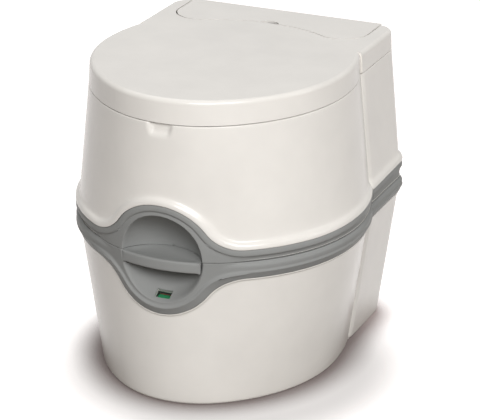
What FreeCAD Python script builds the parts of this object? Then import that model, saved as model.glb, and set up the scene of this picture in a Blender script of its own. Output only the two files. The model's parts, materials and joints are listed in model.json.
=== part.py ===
import FreeCAD, Part
import math
import os
from FreeCAD import Matrix, Vector

# Portable toilet in two sections: a waste tank with its slide valve below, and above it a
# flush tank that carries the bowl, the seat, the lid and the pump.  Millimetres, +Z up, front at -Y,
# origin on the floor under the middle of the overall box.

# Plan outline: an oval front that steps out to a square block at the back
oval_middle_y = -4.0
block_front_y = 81.0
step_depth = 3.0
rear_corner = 30.0
nose_share = 0.92

base_half_width = 170.5
base_front_y = -211.0
base_block_inset = 8.0
base_rear_y = 215.5
belt_half_width = 206.5
belt_front_y = -220.5
belt_block_inset = 14.0
belt_rear_y = 219.0
seam_half_width = 185.5
seam_front_y = -216.5
seam_block_inset = 12.0
seam_rear_y = 221.5
lid_half_width = 182.5
lid_front_y = -215.0
lid_block_inset = 11.0
lid_rear_y = 221.0

# Heights
deck_z = 200.0
tank_rim_z = 218.0
parting_z = 220.0
casing_foot_z = 222.0
floor_z = 246.0
seam_z = 412.0
lid_front_rise = 36.0
lid_rear_rise = 29.0
lid_taper_rise = 46.0

# Walls and fits
tank_wall = 3.5
casing_wall = 3.0
lid_wall = 3.0
trim_fit = 0.3
running_fit = 0.06
slide_fit = 0.5
seam_gap = 1.5
base_chamfer = 3.0

# Grey belt: two bands that swell round the hand recess at the front
upper_belt_z = 238.0
lower_belt_z = 194.5
upper_crest = 79.0
lower_crest = 82.0
crest_fillet = 60.0
upper_proud = 5.0
lower_proud = 6.0
field_proud = 1.5
lip_width = 10.0
bead_width = 8.0
parting_gap = 0.6

# Hand recess and valve handle
recess_z = 218.5
recess_radius = 63.0
recess_depth = 48.0
recess_wall = 2.5
handle_height = 16.0
handle_proud = 4.0
handle_dish = 40.0
handle_dish_depth = 4.0

# Slide valve on the deck
port_radius = 48.0
valve_half = 74.0
blade_half = 60.0
blade_neck_half = 36.0
blade_thickness = 3.0
blade_z = 210.0
blade_margin = 9.0
valve_cover_thickness = 4.0
lip_seal_height = 6.2
lip_seal_foot = 9.0
lip_seal_sheet = 2.0
lip_seal_root = 4.0
lip_seal_edge = 4.5
lip_seal_lean = 1.0
seal_ring_radius = 1.1
seal_groove_share = 1.2
screw_radius = 2.0
screw_head_radius = 4.0
screw_floor = 2.0

# Pouring spout in the recess of the rear wall, with the air vent beside it
spout_x = -75.0
spout_y = 192.0
spout_z = 165.0
spout_length = 150.0
spout_radius = 20.0
spout_wall = 3.5
spout_room = 9.0
spout_floor_z = 132.0
spout_ceiling_z = 194.0
stub_radius = 18.9
stub_flange = 3.0
stub_flange_height = 4.0
spout_seal_width = 4.0
spout_seal_height = 3.0
cap_wall = 4.5
cap_length = 22.0
cap_grooves = 12
cap_groove_radius = 2.5
cap_groove_depth = 1.5
cap_seal_thickness = 2.0
vent_gap = 29.0
vent_stem = 4.5
vent_head = 8.0
vent_lap = 1.0
vent_travel = 5.0
vent_sink = 9.0
vent_boss = 8.0
vent_disc_thickness = 3.2
vent_spring_room = 1.6
vent_spring_wire = 0.5
vent_spring_turns = 3
spring_gap = 0.1

# Level gauge
window_width = 23.0
window_height = 14.0
window_drop = 57.0
window_depth = 6.5
flag_radius = 13.0
flag_thickness = 2.0
flag_gap = 9.0
flag_sweep = 65.0
float_radius = 18.0
float_width = 50.0
float_arm = 100.0
float_angle = 60.0
gauge_pin = 2.5
gauge_hub = 5.5
gauge_lug_x = 12.0
gauge_lug = 4.0
gauge_lug_radius = 8.0
lever_half = 3.0

# Rear latch
latch_travel = 11.0
latch_half = 38.0
latch_y = 206.0
latch_depth = 8.0
latch_height = 5.0
latch_rail = 3.0
latch_tab_half = 10.0
latch_tab_height = 6.0
latch_tab_gap = 1.0
latch_hook_rise = 36.0
latch_hook_reach = 9.0
keeper_width = 8.0
keeper_foot = 4.5
keeper_gap = 1.5

# Bowl and seat
bowl_middle_y = -35.0
bowl_half_width = 108.0
bowl_half_length = 123.0
bowl_wall = 3.0
bowl_throat = 6.0
bowl_waist_share = 0.80
bowl_waist_height = 0.42
bowl_shoulder_share = 0.93
bowl_shoulder_height = 0.75
outlet_radius = 49.5
collar_gap = 0.8
bowl_flange = 9.0
bowl_flange_thickness = 2.0
gasket_width = 7.0
gasket_height = 3.0
seat_thickness = 14.0
seat_inset = 9.0
seat_lap = 6.0
seat_round = 5.0
seat_rear_gap = 10.0
seat_gap = 3.0
seat_arm_inset = 2.0
pad_radius = 6.0
seat_pad_inset = 42.0
seat_pad_front_y = -49.0
seat_pad_rear_y = 40.0
lid_pad_inset = 46.0
lid_pad_y = -64.0

# Rear deck with pump, filler and cover
cover_middle_y = -24.0
cover_radius = 181.0
cover_corner = 38.0
cover_half = 148.0
cover_gap = 2.0
cover_thickness = 3.0
cover_notch = 15.0
cover_notch_depth = 9.0
deck_wall = 3.0
deck_wall_rise = 22.0
cover_axis_y = 218.0
cover_axis_rise = 13.0
cover_pin = 2.0
cover_knuckle = 3.5
cover_knuckle_x = 49.0
cover_knuckle_width = 12.0
cover_lug_width = 5.5
cover_skirt_half = 132.0
parapet_depth = 6.5
parapet_rise = 8.5
cover_rear_gap = 2.2
pump_x = -95.0
service_y = 172.0
barrel_radius = 25.0
barrel_wall = 3.0
barrel_flange = 4.0
barrel_flange_height = 2.0
barrel_foot_z = 256.0
inlet_count = 4
inlet_ring = 13.0
inlet_radius = 3.0
knob_headroom = 6.0
knob_depth = 27.0
knob_round = 2.5
knob_dish = 1.8
pump_stroke = 35.0
rod_radius = 5.0
rod_socket = 12.0
rod_seat = 4.0
piston_rest = 8.0
piston_height = 10.0
piston_groove = 3.0
piston_groove_depth = 2.0
guide_gap = 14.0
guide_thickness = 4.0
pump_spring_room = 6.0
pump_spring_wire = 1.2
pump_spring_turns = 9
hose_radius = 7.5
hose_bore = 5.0
hose_bend = 30.0
hose_grip = 12.0
spigot_wall = 1.5
hose_foot_z = 268.0
nozzle_drop = 20.0
nozzle_tail = 16.0
nozzle_length = 32.0
nozzle_head = 7.0
filler_x = 95.0
filler_radius = 22.0
filler_wall = 3.5
filler_neck = 6.0
filler_gasket_height = 1.5
fill_cap_wall = 3.0
grip_inset = 4.0
grip_half = 3.5
grip_height = 6.0
grip_round = 2.0

# Seat and lid hinge
hinge_y = 213.0
hinge_rise = 19.0
hinge_pin = 3.2
hinge_eye = 6.5
hinge_cheek_x = 149.0
hinge_boss = 12.0
seat_arm = 5.0
hinge_side_gap = 0.6
lid_eye_end = 159.0
tail_radius = 9.5
cradle_gap = 0.8
lid_round = 6.0
thumb_width = 36.0
thumb_depth = 5.0
thumb_height = 16.0

# FAR outruns the part, PAST carries a cutting form through a face
FAR = 900.0
PAST = 1.0
X_AXIS = Vector(1, 0, 0)
Y_AXIS = Vector(0, 1, 0)
Z_AXIS = Vector(0, 0, 1)

base_block_half = base_half_width - base_block_inset
belt_block_half = belt_half_width - belt_block_inset
seam_block_half = seam_half_width - seam_block_inset
lid_block_half = lid_half_width - lid_block_inset
base_plan = (base_half_width, base_front_y, base_block_half, base_rear_y)
belt_plan = (belt_half_width, belt_front_y, belt_block_half, belt_rear_y)
seam_plan = (seam_half_width, seam_front_y, seam_block_half, seam_rear_y)
lid_plan = (lid_half_width, lid_front_y, lid_block_half, lid_rear_y)

ball_radius = (recess_radius**2 + recess_depth**2) / (2 * recess_depth)
ball_y = belt_front_y - field_proud + recess_depth - ball_radius
niche_radius = ball_radius + recess_wall + trim_fit
deck_floor_z = deck_z - tank_wall
handle_top_z = parting_z - parting_gap
casing_top_z = seam_z - casing_wall
lid_front_z = seam_z + lid_front_rise
lid_rear_z = seam_z + lid_rear_rise
hinge_z = seam_z + hinge_rise
deck_wall_z = seam_z + deck_wall_rise
cover_axis_z = seam_z + cover_axis_rise
parapet_z = seam_z + parapet_rise
nozzle_z = seam_z - nozzle_drop
knob_top_z = lid_rear_z - cover_thickness - knob_headroom
knob_foot_z = knob_top_z - knob_depth
spout_end_x = spout_x + spout_length
niche_start_x = spout_x - spout_radius - spout_room
niche_end_x = spout_end_x + cap_length + spout_room
vent_x = niche_end_x + vent_gap
keeper_x = latch_hook_reach + latch_travel
piston_z = barrel_foot_z + barrel_wall + pump_stroke + piston_rest
guide_z = piston_z + piston_height + guide_gap


def box(x0, x1, y0, y1, z0, z1):
    return Part.makeBox(x1 - x0, y1 - y0, z1 - z0, Vector(x0, y0, z0))


def rod(radius, x, y, z, axis, length):
    return Part.makeCylinder(radius, length, Vector(x, y, z), axis)


def pipe(outer, inner, x, y, z, axis, length):
    return rod(outer, x, y, z, axis, length).cut(rod(inner, x, y, z, axis, length))


def ball(radius):
    """Ball whose face is the hollow of the hand recess."""
    return Part.makeSphere(radius, Vector(0, ball_y, recess_z))


def mirrored(shape):
    return shape.mirror(Vector(0, 0, 0), X_AXIS)


def pair(shape):
    return Part.makeCompound([shape, mirrored(shape)])


def line(start, end):
    return Part.LineSegment(start, end).toShape()


def arc(start, middle, end):
    return Part.Arc(start, middle, end).toShape()


def grown(plan, grow):
    half, front, block, rear = plan
    return (half + grow, front - grow, block + grow, rear + grow)


def mixed(low, high, share):
    return tuple(p + (q - p) * share for p, q in zip(low, high))


def oval_wire(plan, z, grow):
    """Round front of the plan: a nose arc, two flank arcs and two arcs that run into the block."""
    half, front, block, rear = grown(plan, grow)
    reach = oval_middle_y - front
    share = nose_share if half < reach else 1 / nose_share
    nose = share * half**2 / reach
    nose_y = front + nose
    offset = oval_middle_y - nose_y
    flank = (half**2 + offset**2 - nose**2) / (2 * (half - nose))
    towards = Vector(flank - half, -offset, 0).normalize()
    if flank < nose:
        towards = towards.negative()
    meet = Vector(0, nose_y, z) + towards * nose
    end_x = block - step_depth
    drop = half - end_x
    run = block_front_y - oval_middle_y
    rear_radius = (drop**2 + run**2) / (2 * drop)
    rear_turn = math.asin(run / rear_radius) / 2
    flank_turn = math.atan2(meet.y - oval_middle_y, meet.x - half + flank) / 2
    flank_x = half - flank
    side = Vector(half, oval_middle_y, z)
    flank_middle = Vector(
        flank_x + flank * math.cos(flank_turn), oval_middle_y + flank * math.sin(flank_turn), z)
    rear_x = half - rear_radius
    rear_middle = Vector(
        rear_x + rear_radius * math.cos(rear_turn), oval_middle_y + rear_radius * math.sin(rear_turn), z)
    end = Vector(end_x, block_front_y, z)
    back = Vector(end_x, block_front_y + 8 * step_depth, z)
    flip = lambda p: Vector(-p.x, p.y, p.z)
    right = [arc(meet, flank_middle, side), arc(side, rear_middle, end), line(end, back)]
    left = [line(flip(back), flip(end)), arc(flip(end), flip(rear_middle), flip(side)),
            arc(flip(side), flip(flank_middle), flip(meet))]
    nose_arc = arc(flip(meet), Vector(0, front, z), meet)
    return Part.Wire([nose_arc] + right + [line(back, flip(back))] + left)


def block_wire(plan, z, grow):
    """Square back of the plan with rounded rear corners."""
    half, front, block, rear = grown(plan, grow)
    start_y = block_front_y - grow
    corner = rear_corner + grow
    bend = corner * (1 - math.sqrt(0.5))
    a = Vector(block, start_y, z)
    b = Vector(block, rear - corner, z)
    c = Vector(block - bend, rear - bend, z)
    d = Vector(block - corner, rear, z)
    flip = lambda p: Vector(-p.x, p.y, p.z)
    return Part.Wire([line(a, b), arc(b, c, d), line(d, flip(d)), arc(flip(d), flip(c), flip(b)),
                      line(flip(b), flip(a)), line(flip(a), a)])


def tier(low, z_low, high, z_high, grow=0.0):
    """Solid between two plans: the oval front and the block, each lofted straight."""
    parts = []
    for wire in (oval_wire, block_wire):
        parts.append(Part.makeLoft([wire(low, z_low, grow), wire(high, z_high, grow)], True, True))
    return parts[0].fuse(parts[1]).removeSplitter()


def tank_tier(z0, z1, grow=0.0):
    plan = lambda z: mixed(base_plan, belt_plan, z / tank_rim_z)
    return tier(plan(z0), z0, plan(z1), z1, grow)


def casing_tier(z0, z1, grow=0.0):
    plan = lambda z: mixed(belt_plan, seam_plan, (z - casing_foot_z) / (seam_z - casing_foot_z))
    return tier(plan(z0), z0, plan(z1), z1, grow)


def skin(make_tier, z0, z1, inner, outer):
    """Layer over a wall, from one growth of its outline to another."""
    return make_tier(z0, z1, outer).cut(make_tier(z0 - PAST, z1 + PAST, inner))


def belt_side(side_z, crest, sign, inset):
    """Everything on the belt's side of one of its two wavy edges, drawn in by inset."""
    crest = crest - inset
    fillet = crest_fillet + inset
    lift = sign * (side_z - recess_z) - inset
    reach = math.sqrt((crest + fillet)**2 - (lift + fillet)**2)
    at = lambda x, h: Vector(x, -FAR, recess_z + sign * h)
    share = crest / (crest + fillet)
    tip = (reach * share, (lift + fillet) * share)
    towards = Vector(-reach, -(lift + fillet), 0).normalize() + Vector(0, -1, 0)
    towards = towards.normalize() * fillet
    middle = (reach + towards.x, lift + fillet + towards.y)
    edges = [
        line(at(-FAR, lift), at(-reach, lift)),
        arc(at(-reach, lift), at(-middle[0], middle[1]), at(-tip[0], tip[1])),
        arc(at(-tip[0], tip[1]), at(0, crest), at(tip[0], tip[1])),
        arc(at(tip[0], tip[1]), at(middle[0], middle[1]), at(reach, lift)),
        line(at(reach, lift), at(FAR, lift)),
        line(at(FAR, lift), at(FAR, -FAR)),
        line(at(FAR, -FAR), at(-FAR, -FAR)),
        line(at(-FAR, -FAR), at(-FAR, lift)),
    ]
    front = Part.Face(Part.Wire(edges)).extrude(Vector(0, FAR, 0))
    heights = sorted([recess_z + sign * lift, recess_z - sign * FAR])
    return front.fuse(box(-FAR, FAR, 0, FAR, heights[0], heights[1]))


def upper_edge(inset=0.0):
    return belt_side(upper_belt_z, upper_crest, 1, inset)


def lower_edge(inset=0.0):
    return belt_side(lower_belt_z, lower_crest, -1, inset)


def waste_tank():
    """Tank with a sunk deck for the valve, a niche for the hand recess and one for the spout."""
    foot = tier(grown(base_plan, -base_chamfer), 0, mixed(base_plan, belt_plan, base_chamfer / tank_rim_z),
                base_chamfer)
    tank = tank_tier(base_chamfer, tank_rim_z).fuse(foot).removeSplitter()
    y0 = spout_y - spout_radius - spout_room
    spout_niche = box(niche_start_x, niche_end_x, y0, FAR, spout_floor_z, spout_ceiling_z)
    spout_walls = box(niche_start_x - tank_wall, niche_end_x + tank_wall, y0 - tank_wall, FAR,
                      spout_floor_z - tank_wall, deck_z)
    cavity = tank_tier(tank_wall, deck_floor_z, -tank_wall)
    vent_boss = rod(vent_head + tank_wall, vent_x, vent_inner_y(), spout_z, Y_AXIS, FAR)
    cavity = cavity.cut(ball(niche_radius + tank_wall)).cut(spout_walls).cut(vent_boss)
    tray = tank_tier(deck_z, tank_rim_z + PAST, -tank_wall)
    tank = tank.cut(cavity).cut(tray).cut(ball(niche_radius)).cut(spout_niche)
    tank = tank.cut(rod(port_radius, 0, 0, deck_floor_z - PAST, Z_AXIS, FAR))
    stub_z = spout_floor_z - 2 * tank_wall
    stub_hole = rod(stub_radius + running_fit, spout_x, spout_y, stub_z, Z_AXIS, 3 * tank_wall)
    tank = tank.cut(stub_hole)
    tank = tank.cut(rod(vent_stem + running_fit, vent_x, 0, spout_z, Y_AXIS, FAR))
    tank = tank.cut(rod(vent_head + slide_fit, vent_x, vent_seat_y(), spout_z, Y_AXIS, FAR))
    tank = tank.cut(latch_slot())
    window = window_block(slide_fit).common(box(-FAR, FAR, -FAR, FAR, 0, deck_floor_z))
    tank = tank.cut(window)
    rail_top = deck_z + latch_height
    rail = box(-latch_half, latch_half, latch_y - latch_rail, latch_y - slide_fit, deck_z, rail_top)
    return tank.fuse(rail)


def vent_inner_y():
    return vent_seat_y() - vent_boss


def vent_seat_y():
    return belt_rear_y - vent_sink


def latch_slot():
    """Slot in the rear wall for the latch's tab and its travel."""
    end = latch_tab_half + latch_rail
    z = deck_z + latch_height
    top = z + latch_tab_height + 2 * latch_tab_gap
    return box(-end, end + latch_travel, latch_y + latch_depth, FAR, z, top)


def lower_band():
    """Lower grey band with the scoop under the valve handle."""
    top = parting_z - parting_gap / 2
    low = recess_z - lower_crest - lip_width
    band = skin(tank_tier, low, top, trim_fit, lower_proud).common(lower_edge())
    field = skin(tank_tier, low, top + PAST, field_proud, 2 * lower_proud).common(lower_edge(lip_width))
    band = band.cut(field)
    scoop = ball(ball_radius + recess_wall).common(tank_tier(low, top, field_proud / 2))
    band = band.fuse(scoop).cut(ball(ball_radius))
    neck = blade_neck_half + slide_fit
    slot = box(-neck, neck, -FAR, 0, blade_z - slide_fit, blade_z + blade_thickness + slide_fit)
    return band.cut(slot).cut(window_block(0)).cut(latch_slot()).removeSplitter()


def upper_band():
    """Upper grey band with the vault over the hand recess."""
    foot = parting_z + parting_gap / 2
    top = recess_z + upper_crest + lip_width
    band = skin(casing_tier, foot, top, trim_fit, upper_proud).common(upper_edge())
    field = skin(casing_tier, foot - PAST, top, field_proud, 2 * upper_proud).common(upper_edge(lip_width))
    band = band.cut(field)
    vault = ball(ball_radius + recess_wall).common(casing_tier(foot, top, field_proud / 2))
    return band.fuse(vault).cut(ball(ball_radius)).removeSplitter()


def window_frame():
    """Middle of the gauge window on the recess, and the direction that it faces."""
    depth = math.sqrt(ball_radius**2 - window_drop**2)
    middle = Vector(0, ball_y + depth, recess_z - window_drop)
    facing = Vector(0, ball_y, recess_z) - middle
    return middle, facing.normalize()


def facing_block(width, height, inner, outer):
    """Block square to the window, from inner to outer along the direction that it faces."""
    middle, facing = window_frame()
    block = Part.makeBox(width, outer - inner, height, Vector(-width / 2, inner, -height / 2))
    turn = FreeCAD.Rotation(Y_AXIS, facing)
    return block.transformed(FreeCAD.Placement(middle, turn).toMatrix())


def window_block(clear):
    return facing_block(window_width + 2 * clear, window_height + 2 * clear, -flag_gap, recess_wall)


def indicator_window():
    """Clear plug in the scoop, its face flush with the hollow."""
    plug = facing_block(window_width - slide_fit, window_height - slide_fit, -window_depth, recess_wall)
    return plug.cut(ball(ball_radius))


def valve_handle():
    """Lens-shaped pull that fills the middle of the recess, dished for the fingers."""
    bottom = handle_top_z - handle_height
    front = tank_tier(bottom, handle_top_z, handle_proud)
    grip = ball(ball_radius - slide_fit).common(front)
    dish_y = belt_front_y + recess_depth / 2
    dish_z = handle_top_z + handle_dish - handle_dish_depth
    grip = grip.cut(rod(handle_dish, -FAR, dish_y, dish_z, X_AXIS, 2 * FAR))
    slot = box(-blade_neck_half, blade_neck_half, dish_y, 0, blade_z, blade_z + blade_thickness)
    return grip.cut(slot)


def valve_blade():
    """Flat gate: a plate over the port, and a neck that runs forward into the handle."""
    end = port_radius + blade_margin
    z1 = blade_z + blade_thickness
    plate = box(-blade_half, blade_half, -end, end, blade_z, z1)
    neck = box(-blade_neck_half, blade_neck_half, belt_front_y + recess_depth / 2, 0, blade_z, z1)
    return plate.fuse(neck).removeSplitter()


def valve_base():
    """Frame on the deck with the port, the groove for the seal ring and the channel for the blade."""
    top = blade_z + blade_thickness + slide_fit
    frame = box(-valve_half, valve_half, -valve_half, valve_half, deck_z, top)
    stop = port_radius + blade_margin + slide_fit
    channel = box(-blade_half - slide_fit, blade_half + slide_fit, -FAR, stop, blade_z - slide_fit, FAR)
    frame = frame.cut(channel).cut(rod(port_radius, 0, 0, 0, Z_AXIS, FAR))
    half = seal_groove_share * seal_ring_radius
    groove = pipe(seal_middle() + half, seal_middle() - half, 0, 0, seal_z() - seal_ring_radius, Z_AXIS, FAR)
    return frame.cut(groove).cut(valve_screws())


def seal_middle():
    return port_radius + blade_margin / 2


def seal_z():
    return blade_z - trim_fit - seal_ring_radius


def blade_seal():
    return Part.makeTorus(seal_middle(), seal_ring_radius, Vector(0, 0, seal_z()))


def cover_plate_z():
    return blade_z + blade_thickness + slide_fit


def valve_cover():
    """Plate over the blade, screwed to the frame."""
    z = cover_plate_z()
    plate = box(-valve_half, valve_half, -valve_half, valve_half, z, z + valve_cover_thickness)
    return plate.cut(rod(port_radius, 0, 0, 0, Z_AXIS, FAR)).cut(valve_screws())


def valve_screws():
    """Six cover screws along the two sides of the frame."""
    z = cover_plate_z() + valve_cover_thickness
    x = (blade_half + valve_half) / 2 + slide_fit
    found = []
    for row in (-1, 0, 1):
        y = row * (valve_half - 2 * screw_head_radius)
        for side in (-1, 1):
            shank = rod(screw_radius, side * x, y, deck_z + screw_floor, Z_AXIS, z - deck_z - screw_floor)
            found.append(shank.fuse(rod(screw_head_radius, side * x, y, z, Z_AXIS, screw_radius)))
    return Part.makeCompound(found)


def lip_seal():
    """Rubber ring that leans in towards the foot of the bowl."""
    z = cover_plate_z() + valve_cover_thickness
    r = port_radius
    sheet = z + lip_seal_sheet
    top = z + lip_seal_height
    tip = r + lip_seal_lean
    points = [Vector(r, 0, z), Vector(r + lip_seal_foot, 0, z), Vector(r + lip_seal_foot, 0, sheet),
              Vector(tip + lip_seal_edge, 0, top), Vector(tip, 0, top), Vector(r + lip_seal_root, 0, sheet),
              Vector(r, 0, sheet)]
    return Part.Face(Part.makePolygon(points + points[:1])).revolve(Vector(0, 0, 0), Z_AXIS, 360)


def pour_spout():
    """Elbow with a stub that turns in the floor of the niche and a tube that swings out."""
    foot = spout_floor_z - tank_wall - stub_flange_height
    flange = rod(stub_radius + stub_flange, spout_x, spout_y, foot, Z_AXIS, stub_flange_height - trim_fit)
    body = rod(stub_radius, spout_x, spout_y, foot, Z_AXIS, spout_z - foot).fuse(flange)
    body = body.fuse(Part.makeSphere(spout_radius, Vector(spout_x, spout_y, spout_z)))
    body = body.fuse(rod(spout_radius, spout_x, spout_y, spout_z, X_AXIS, spout_length))
    bore = stub_radius - spout_wall
    body = body.cut(rod(bore, spout_x, spout_y, foot, Z_AXIS, spout_z - foot))
    body = body.cut(Part.makeSphere(bore, Vector(spout_x, spout_y, spout_z)))
    return body.cut(rod(bore, spout_x, spout_y, spout_z, X_AXIS, spout_length))


def spout_seal():
    outer = stub_radius + spout_seal_width
    return pipe(outer, stub_radius + trim_fit, spout_x, spout_y, spout_floor_z, Z_AXIS, spout_seal_height)


def spout_cap():
    """Cup over the end of the spout, with grooves round its rim for the grip."""
    start = spout_end_x - cap_length + cap_wall + cap_seal_thickness
    outer = spout_radius + cap_wall
    cap = rod(outer, start, spout_y, spout_z, X_AXIS, cap_length)
    cap = cap.cut(rod(spout_radius + running_fit, start, spout_y, spout_z, X_AXIS, cap_length - cap_wall))
    reach = outer + cap_groove_radius - cap_groove_depth
    for step in range(cap_grooves):
        angle = step * 2 * math.pi / cap_grooves
        y = spout_y + reach * math.cos(angle)
        z = spout_z + reach * math.sin(angle)
        cap = cap.cut(rod(cap_groove_radius, start, y, z, X_AXIS, cap_length))
    return cap


def cap_seal():
    radius = spout_radius - cap_seal_thickness / 2
    return rod(radius, spout_end_x, spout_y, spout_z, X_AXIS, cap_seal_thickness)


def vent_button():
    """Button that pushes the vent disc off its seat."""
    head_y = belt_rear_y + slide_fit
    stem_y = vent_disc_y() - slide_fit
    head = rod(vent_head, vent_x, head_y, spout_z, Y_AXIS, vent_travel)
    return head.fuse(rod(vent_stem, vent_x, stem_y, spout_z, Y_AXIS, head_y - stem_y))


def vent_disc_y():
    return vent_inner_y() - trim_fit - vent_disc_thickness


def vent_disc():
    return pipe(vent_head + vent_lap, vent_stem, vent_x, vent_disc_y(), spout_z, Y_AXIS, vent_disc_thickness)


def biarc(p0, t0, p1, t1):
    """Two tangent arcs from p0 to p1 with the given directions at the ends."""
    v = p1 - p0
    t = t0 + t1
    a = 2 * (1 - t0.dot(t1))
    b = 2 * v.dot(t)
    d = (-b + math.sqrt(b * b + 4 * a * v.dot(v))) / (2 * a)
    joint = ((p0 + t0 * d) + (p1 - t1 * d)) * 0.5
    return [tangent_arc(p0, t0, joint), tangent_arc(p1, t1.negative(), joint, True)]


def tangent_arc(start, direction, end, backward=False):
    chord = end - start
    normal = (chord - direction * chord.dot(direction)).normalize()
    radius = chord.dot(chord) / (2 * chord.dot(normal))
    centre = start + normal * radius
    middle = centre + ((start - centre) + (end - centre)).normalize() * radius
    return arc(end, middle, start) if backward else arc(start, middle, end)


def coil(radius, wire, turns, length, name):
    """Compression spring along +Z as one tube, with the least gap between its turns printed."""
    climb = length - 2 * wire
    quarter = int(turns * 4)
    tangent = Vector(0, radius, climb / (2 * math.pi * turns))
    edges = []
    for step in range(quarter):
        ends = []
        for k in (step, step + 1):
            angle = k * math.pi / 2
            turn = FreeCAD.Rotation(Z_AXIS, math.degrees(angle))
            ends.append(turn.multVec(Vector(radius, 0, 0)) + Vector(0, 0, wire + climb * k / quarter))
            ends.append(turn.multVec(Vector(tangent).normalize()))
        edges += biarc(*ends)
    spine = Part.Wire(edges)
    profile = Part.Wire(Part.Circle(Vector(radius, 0, wire), tangent, wire).toShape())
    spring = spine.makePipeShell([profile], True, False)
    print(name, "least gap between turns", round(climb / turns - 2 * wire, 2))
    return spring


def vent_spring():
    start = vent_seat_y() + spring_gap
    length = belt_rear_y + slide_fit - spring_gap - start
    spring = coil(vent_stem + vent_spring_room, vent_spring_wire, vent_spring_turns, length, "vent spring")
    spring.rotate(Vector(0, 0, 0), X_AXIS, -90)
    return spring.translated(Vector(vent_x, start, spout_z))


def gauge_axis():
    middle, facing = window_frame()
    return middle - facing * (flag_gap + flag_radius)


def float_bracket():
    """Two lugs inside the front wall, tied by a bar, that carry the pin of the gauge."""
    pivot = gauge_axis()
    foot = pivot.z - flag_radius - 2 * gauge_lug
    lug = box(gauge_lug_x, gauge_lug_x + gauge_lug, -FAR, pivot.y, foot, pivot.z + gauge_lug_radius)
    lug = lug.fuse(rod(gauge_lug_radius, gauge_lug_x, pivot.y, pivot.z, X_AXIS, gauge_lug))
    lug = lug.cut(rod(gauge_pin, gauge_lug_x, pivot.y, pivot.z, X_AXIS, gauge_lug))
    bar = box(-gauge_lug_x, gauge_lug_x, -FAR, pivot.y, foot, foot + gauge_lug)
    inside = tank_tier(tank_wall, deck_floor_z, -tank_wall - running_fit)
    inside = inside.cut(ball(niche_radius + tank_wall + running_fit))
    return lug.fuse(mirrored(lug)).fuse(bar).common(inside).removeSplitter()


def float_pin():
    pivot = gauge_axis()
    end = gauge_lug_x + gauge_lug + gauge_pin
    return rod(gauge_pin, -end, pivot.y, pivot.z, X_AXIS, 2 * end)


def flag_tilt():
    """Angle of the window's facing, from straight up towards the front."""
    middle, facing = window_frame()
    return math.degrees(math.atan2(-facing.y, facing.z))


def float_rod():
    """Lever of the gauge, from the float to the flags behind the window."""
    pivot = gauge_axis()
    width = 2 * (gauge_lug_x - hinge_side_gap)
    hub = pipe(gauge_hub, gauge_pin + running_fit, -width / 2, 0, 0, X_AXIS, width)
    start = (gauge_hub + gauge_pin) / 2
    arm = box(-lever_half, lever_half, start, float_arm - float_radius, -lever_half, lever_half)
    arm.rotate(Vector(0, 0, 0), X_AXIS, -float_angle)
    post = box(-lever_half, lever_half, -lever_half, lever_half, start, flag_radius)
    post = post.common(rod(flag_radius - flag_thickness, -lever_half, 0, 0, X_AXIS, 2 * lever_half))
    post.rotate(Vector(0, 0, 0), X_AXIS, flag_tilt())
    behind = post.copy()
    behind.rotate(Vector(0, 0, 0), X_AXIS, -flag_sweep)
    return hub.fuse(arm).fuse(post).fuse(behind).removeSplitter().translated(pivot)


def flag(start, sweep):
    """Curved plate of the gauge, part of a drum about its pin."""
    left = -window_width / 2
    plate = pipe(flag_radius, flag_radius - flag_thickness, left, 0, 0, X_AXIS, window_width)
    wedge = Part.makeCylinder(2 * flag_radius, window_width, Vector(left, 0, 0), X_AXIS, sweep)
    wedge.rotate(Vector(0, 0, 0), X_AXIS, start + flag_tilt())
    return plate.common(wedge).translated(gauge_axis())


def gauge_float():
    pivot = gauge_axis()
    reach = math.radians(float_angle)
    y = pivot.y + float_arm * math.cos(reach)
    z = pivot.z - float_arm * math.sin(reach)
    return rod(float_radius, -float_width / 2, y, z, X_AXIS, float_width)


def rear_latch():
    """Slide on the deck with a thumb tab through the rear wall and a hook for the keeper."""
    y1 = latch_y + latch_depth
    z0 = deck_z + trim_fit
    z1 = deck_z + latch_hook_rise
    tab_z = deck_z + latch_height + latch_tab_gap
    tab_end = belt_rear_y + lower_proud - latch_tab_gap
    slide = box(-latch_half, latch_half, latch_y, y1, z0, deck_z + latch_height)
    tab = box(-latch_tab_half, latch_tab_half, latch_y, tab_end, tab_z, tab_z + latch_tab_height)
    post = box(-latch_tab_half, 0, latch_y, y1, z0, z1)
    arm = box(-latch_tab_half, latch_hook_reach, latch_y, y1, z1 - latch_height, z1)
    return slide.fuse(tab).fuse(post).fuse(arm).removeSplitter()


def latch_keeper():
    """Foot under the flush tank that the latch hooks over."""
    y1 = latch_y + latch_depth
    top = deck_z + latch_hook_rise - latch_height - keeper_gap
    end = keeper_x + keeper_width
    post = box(keeper_x, end, latch_y, y1, top - keeper_foot, floor_z)
    return post.fuse(box(keeper_x - keeper_width, end, latch_y, y1, top - keeper_foot, top)).removeSplitter()


def round_wire(rx, ry, y, z):
    """Ellipse in plan, always starting on the same side."""
    ring = Part.Wire(Part.makeCircle(1.0))
    shape = Matrix(rx, 0, 0, 0, 0, ry, 0, y, 0, 0, 1, z, 0, 0, 0, 1)
    return ring.transformGeometry(shape)


def bowl_form(grow, top):
    """Smooth funnel from the oval rim to the round outlet."""
    foot = floor_z + bowl_throat
    sections = [round_wire(outlet_radius + grow, outlet_radius + grow, 0, foot)]
    curve = ((bowl_waist_share, bowl_waist_height), (bowl_shoulder_share, bowl_shoulder_height))
    for share, height in curve:
        rx = outlet_radius + (bowl_half_width - outlet_radius) * share
        ry = outlet_radius + (bowl_half_length - outlet_radius) * share
        z = foot + (top - foot) * height
        sections.append(round_wire(rx + grow, ry + grow, bowl_middle_y * share, z))
    sections.append(round_wire(bowl_half_width + grow, bowl_half_length + grow, bowl_middle_y, top))
    funnel = Part.makeLoft(sections, True, False)
    return funnel.fuse(rod(outlet_radius + grow, 0, 0, collar_foot_z(), Z_AXIS, foot - collar_foot_z()))


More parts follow.
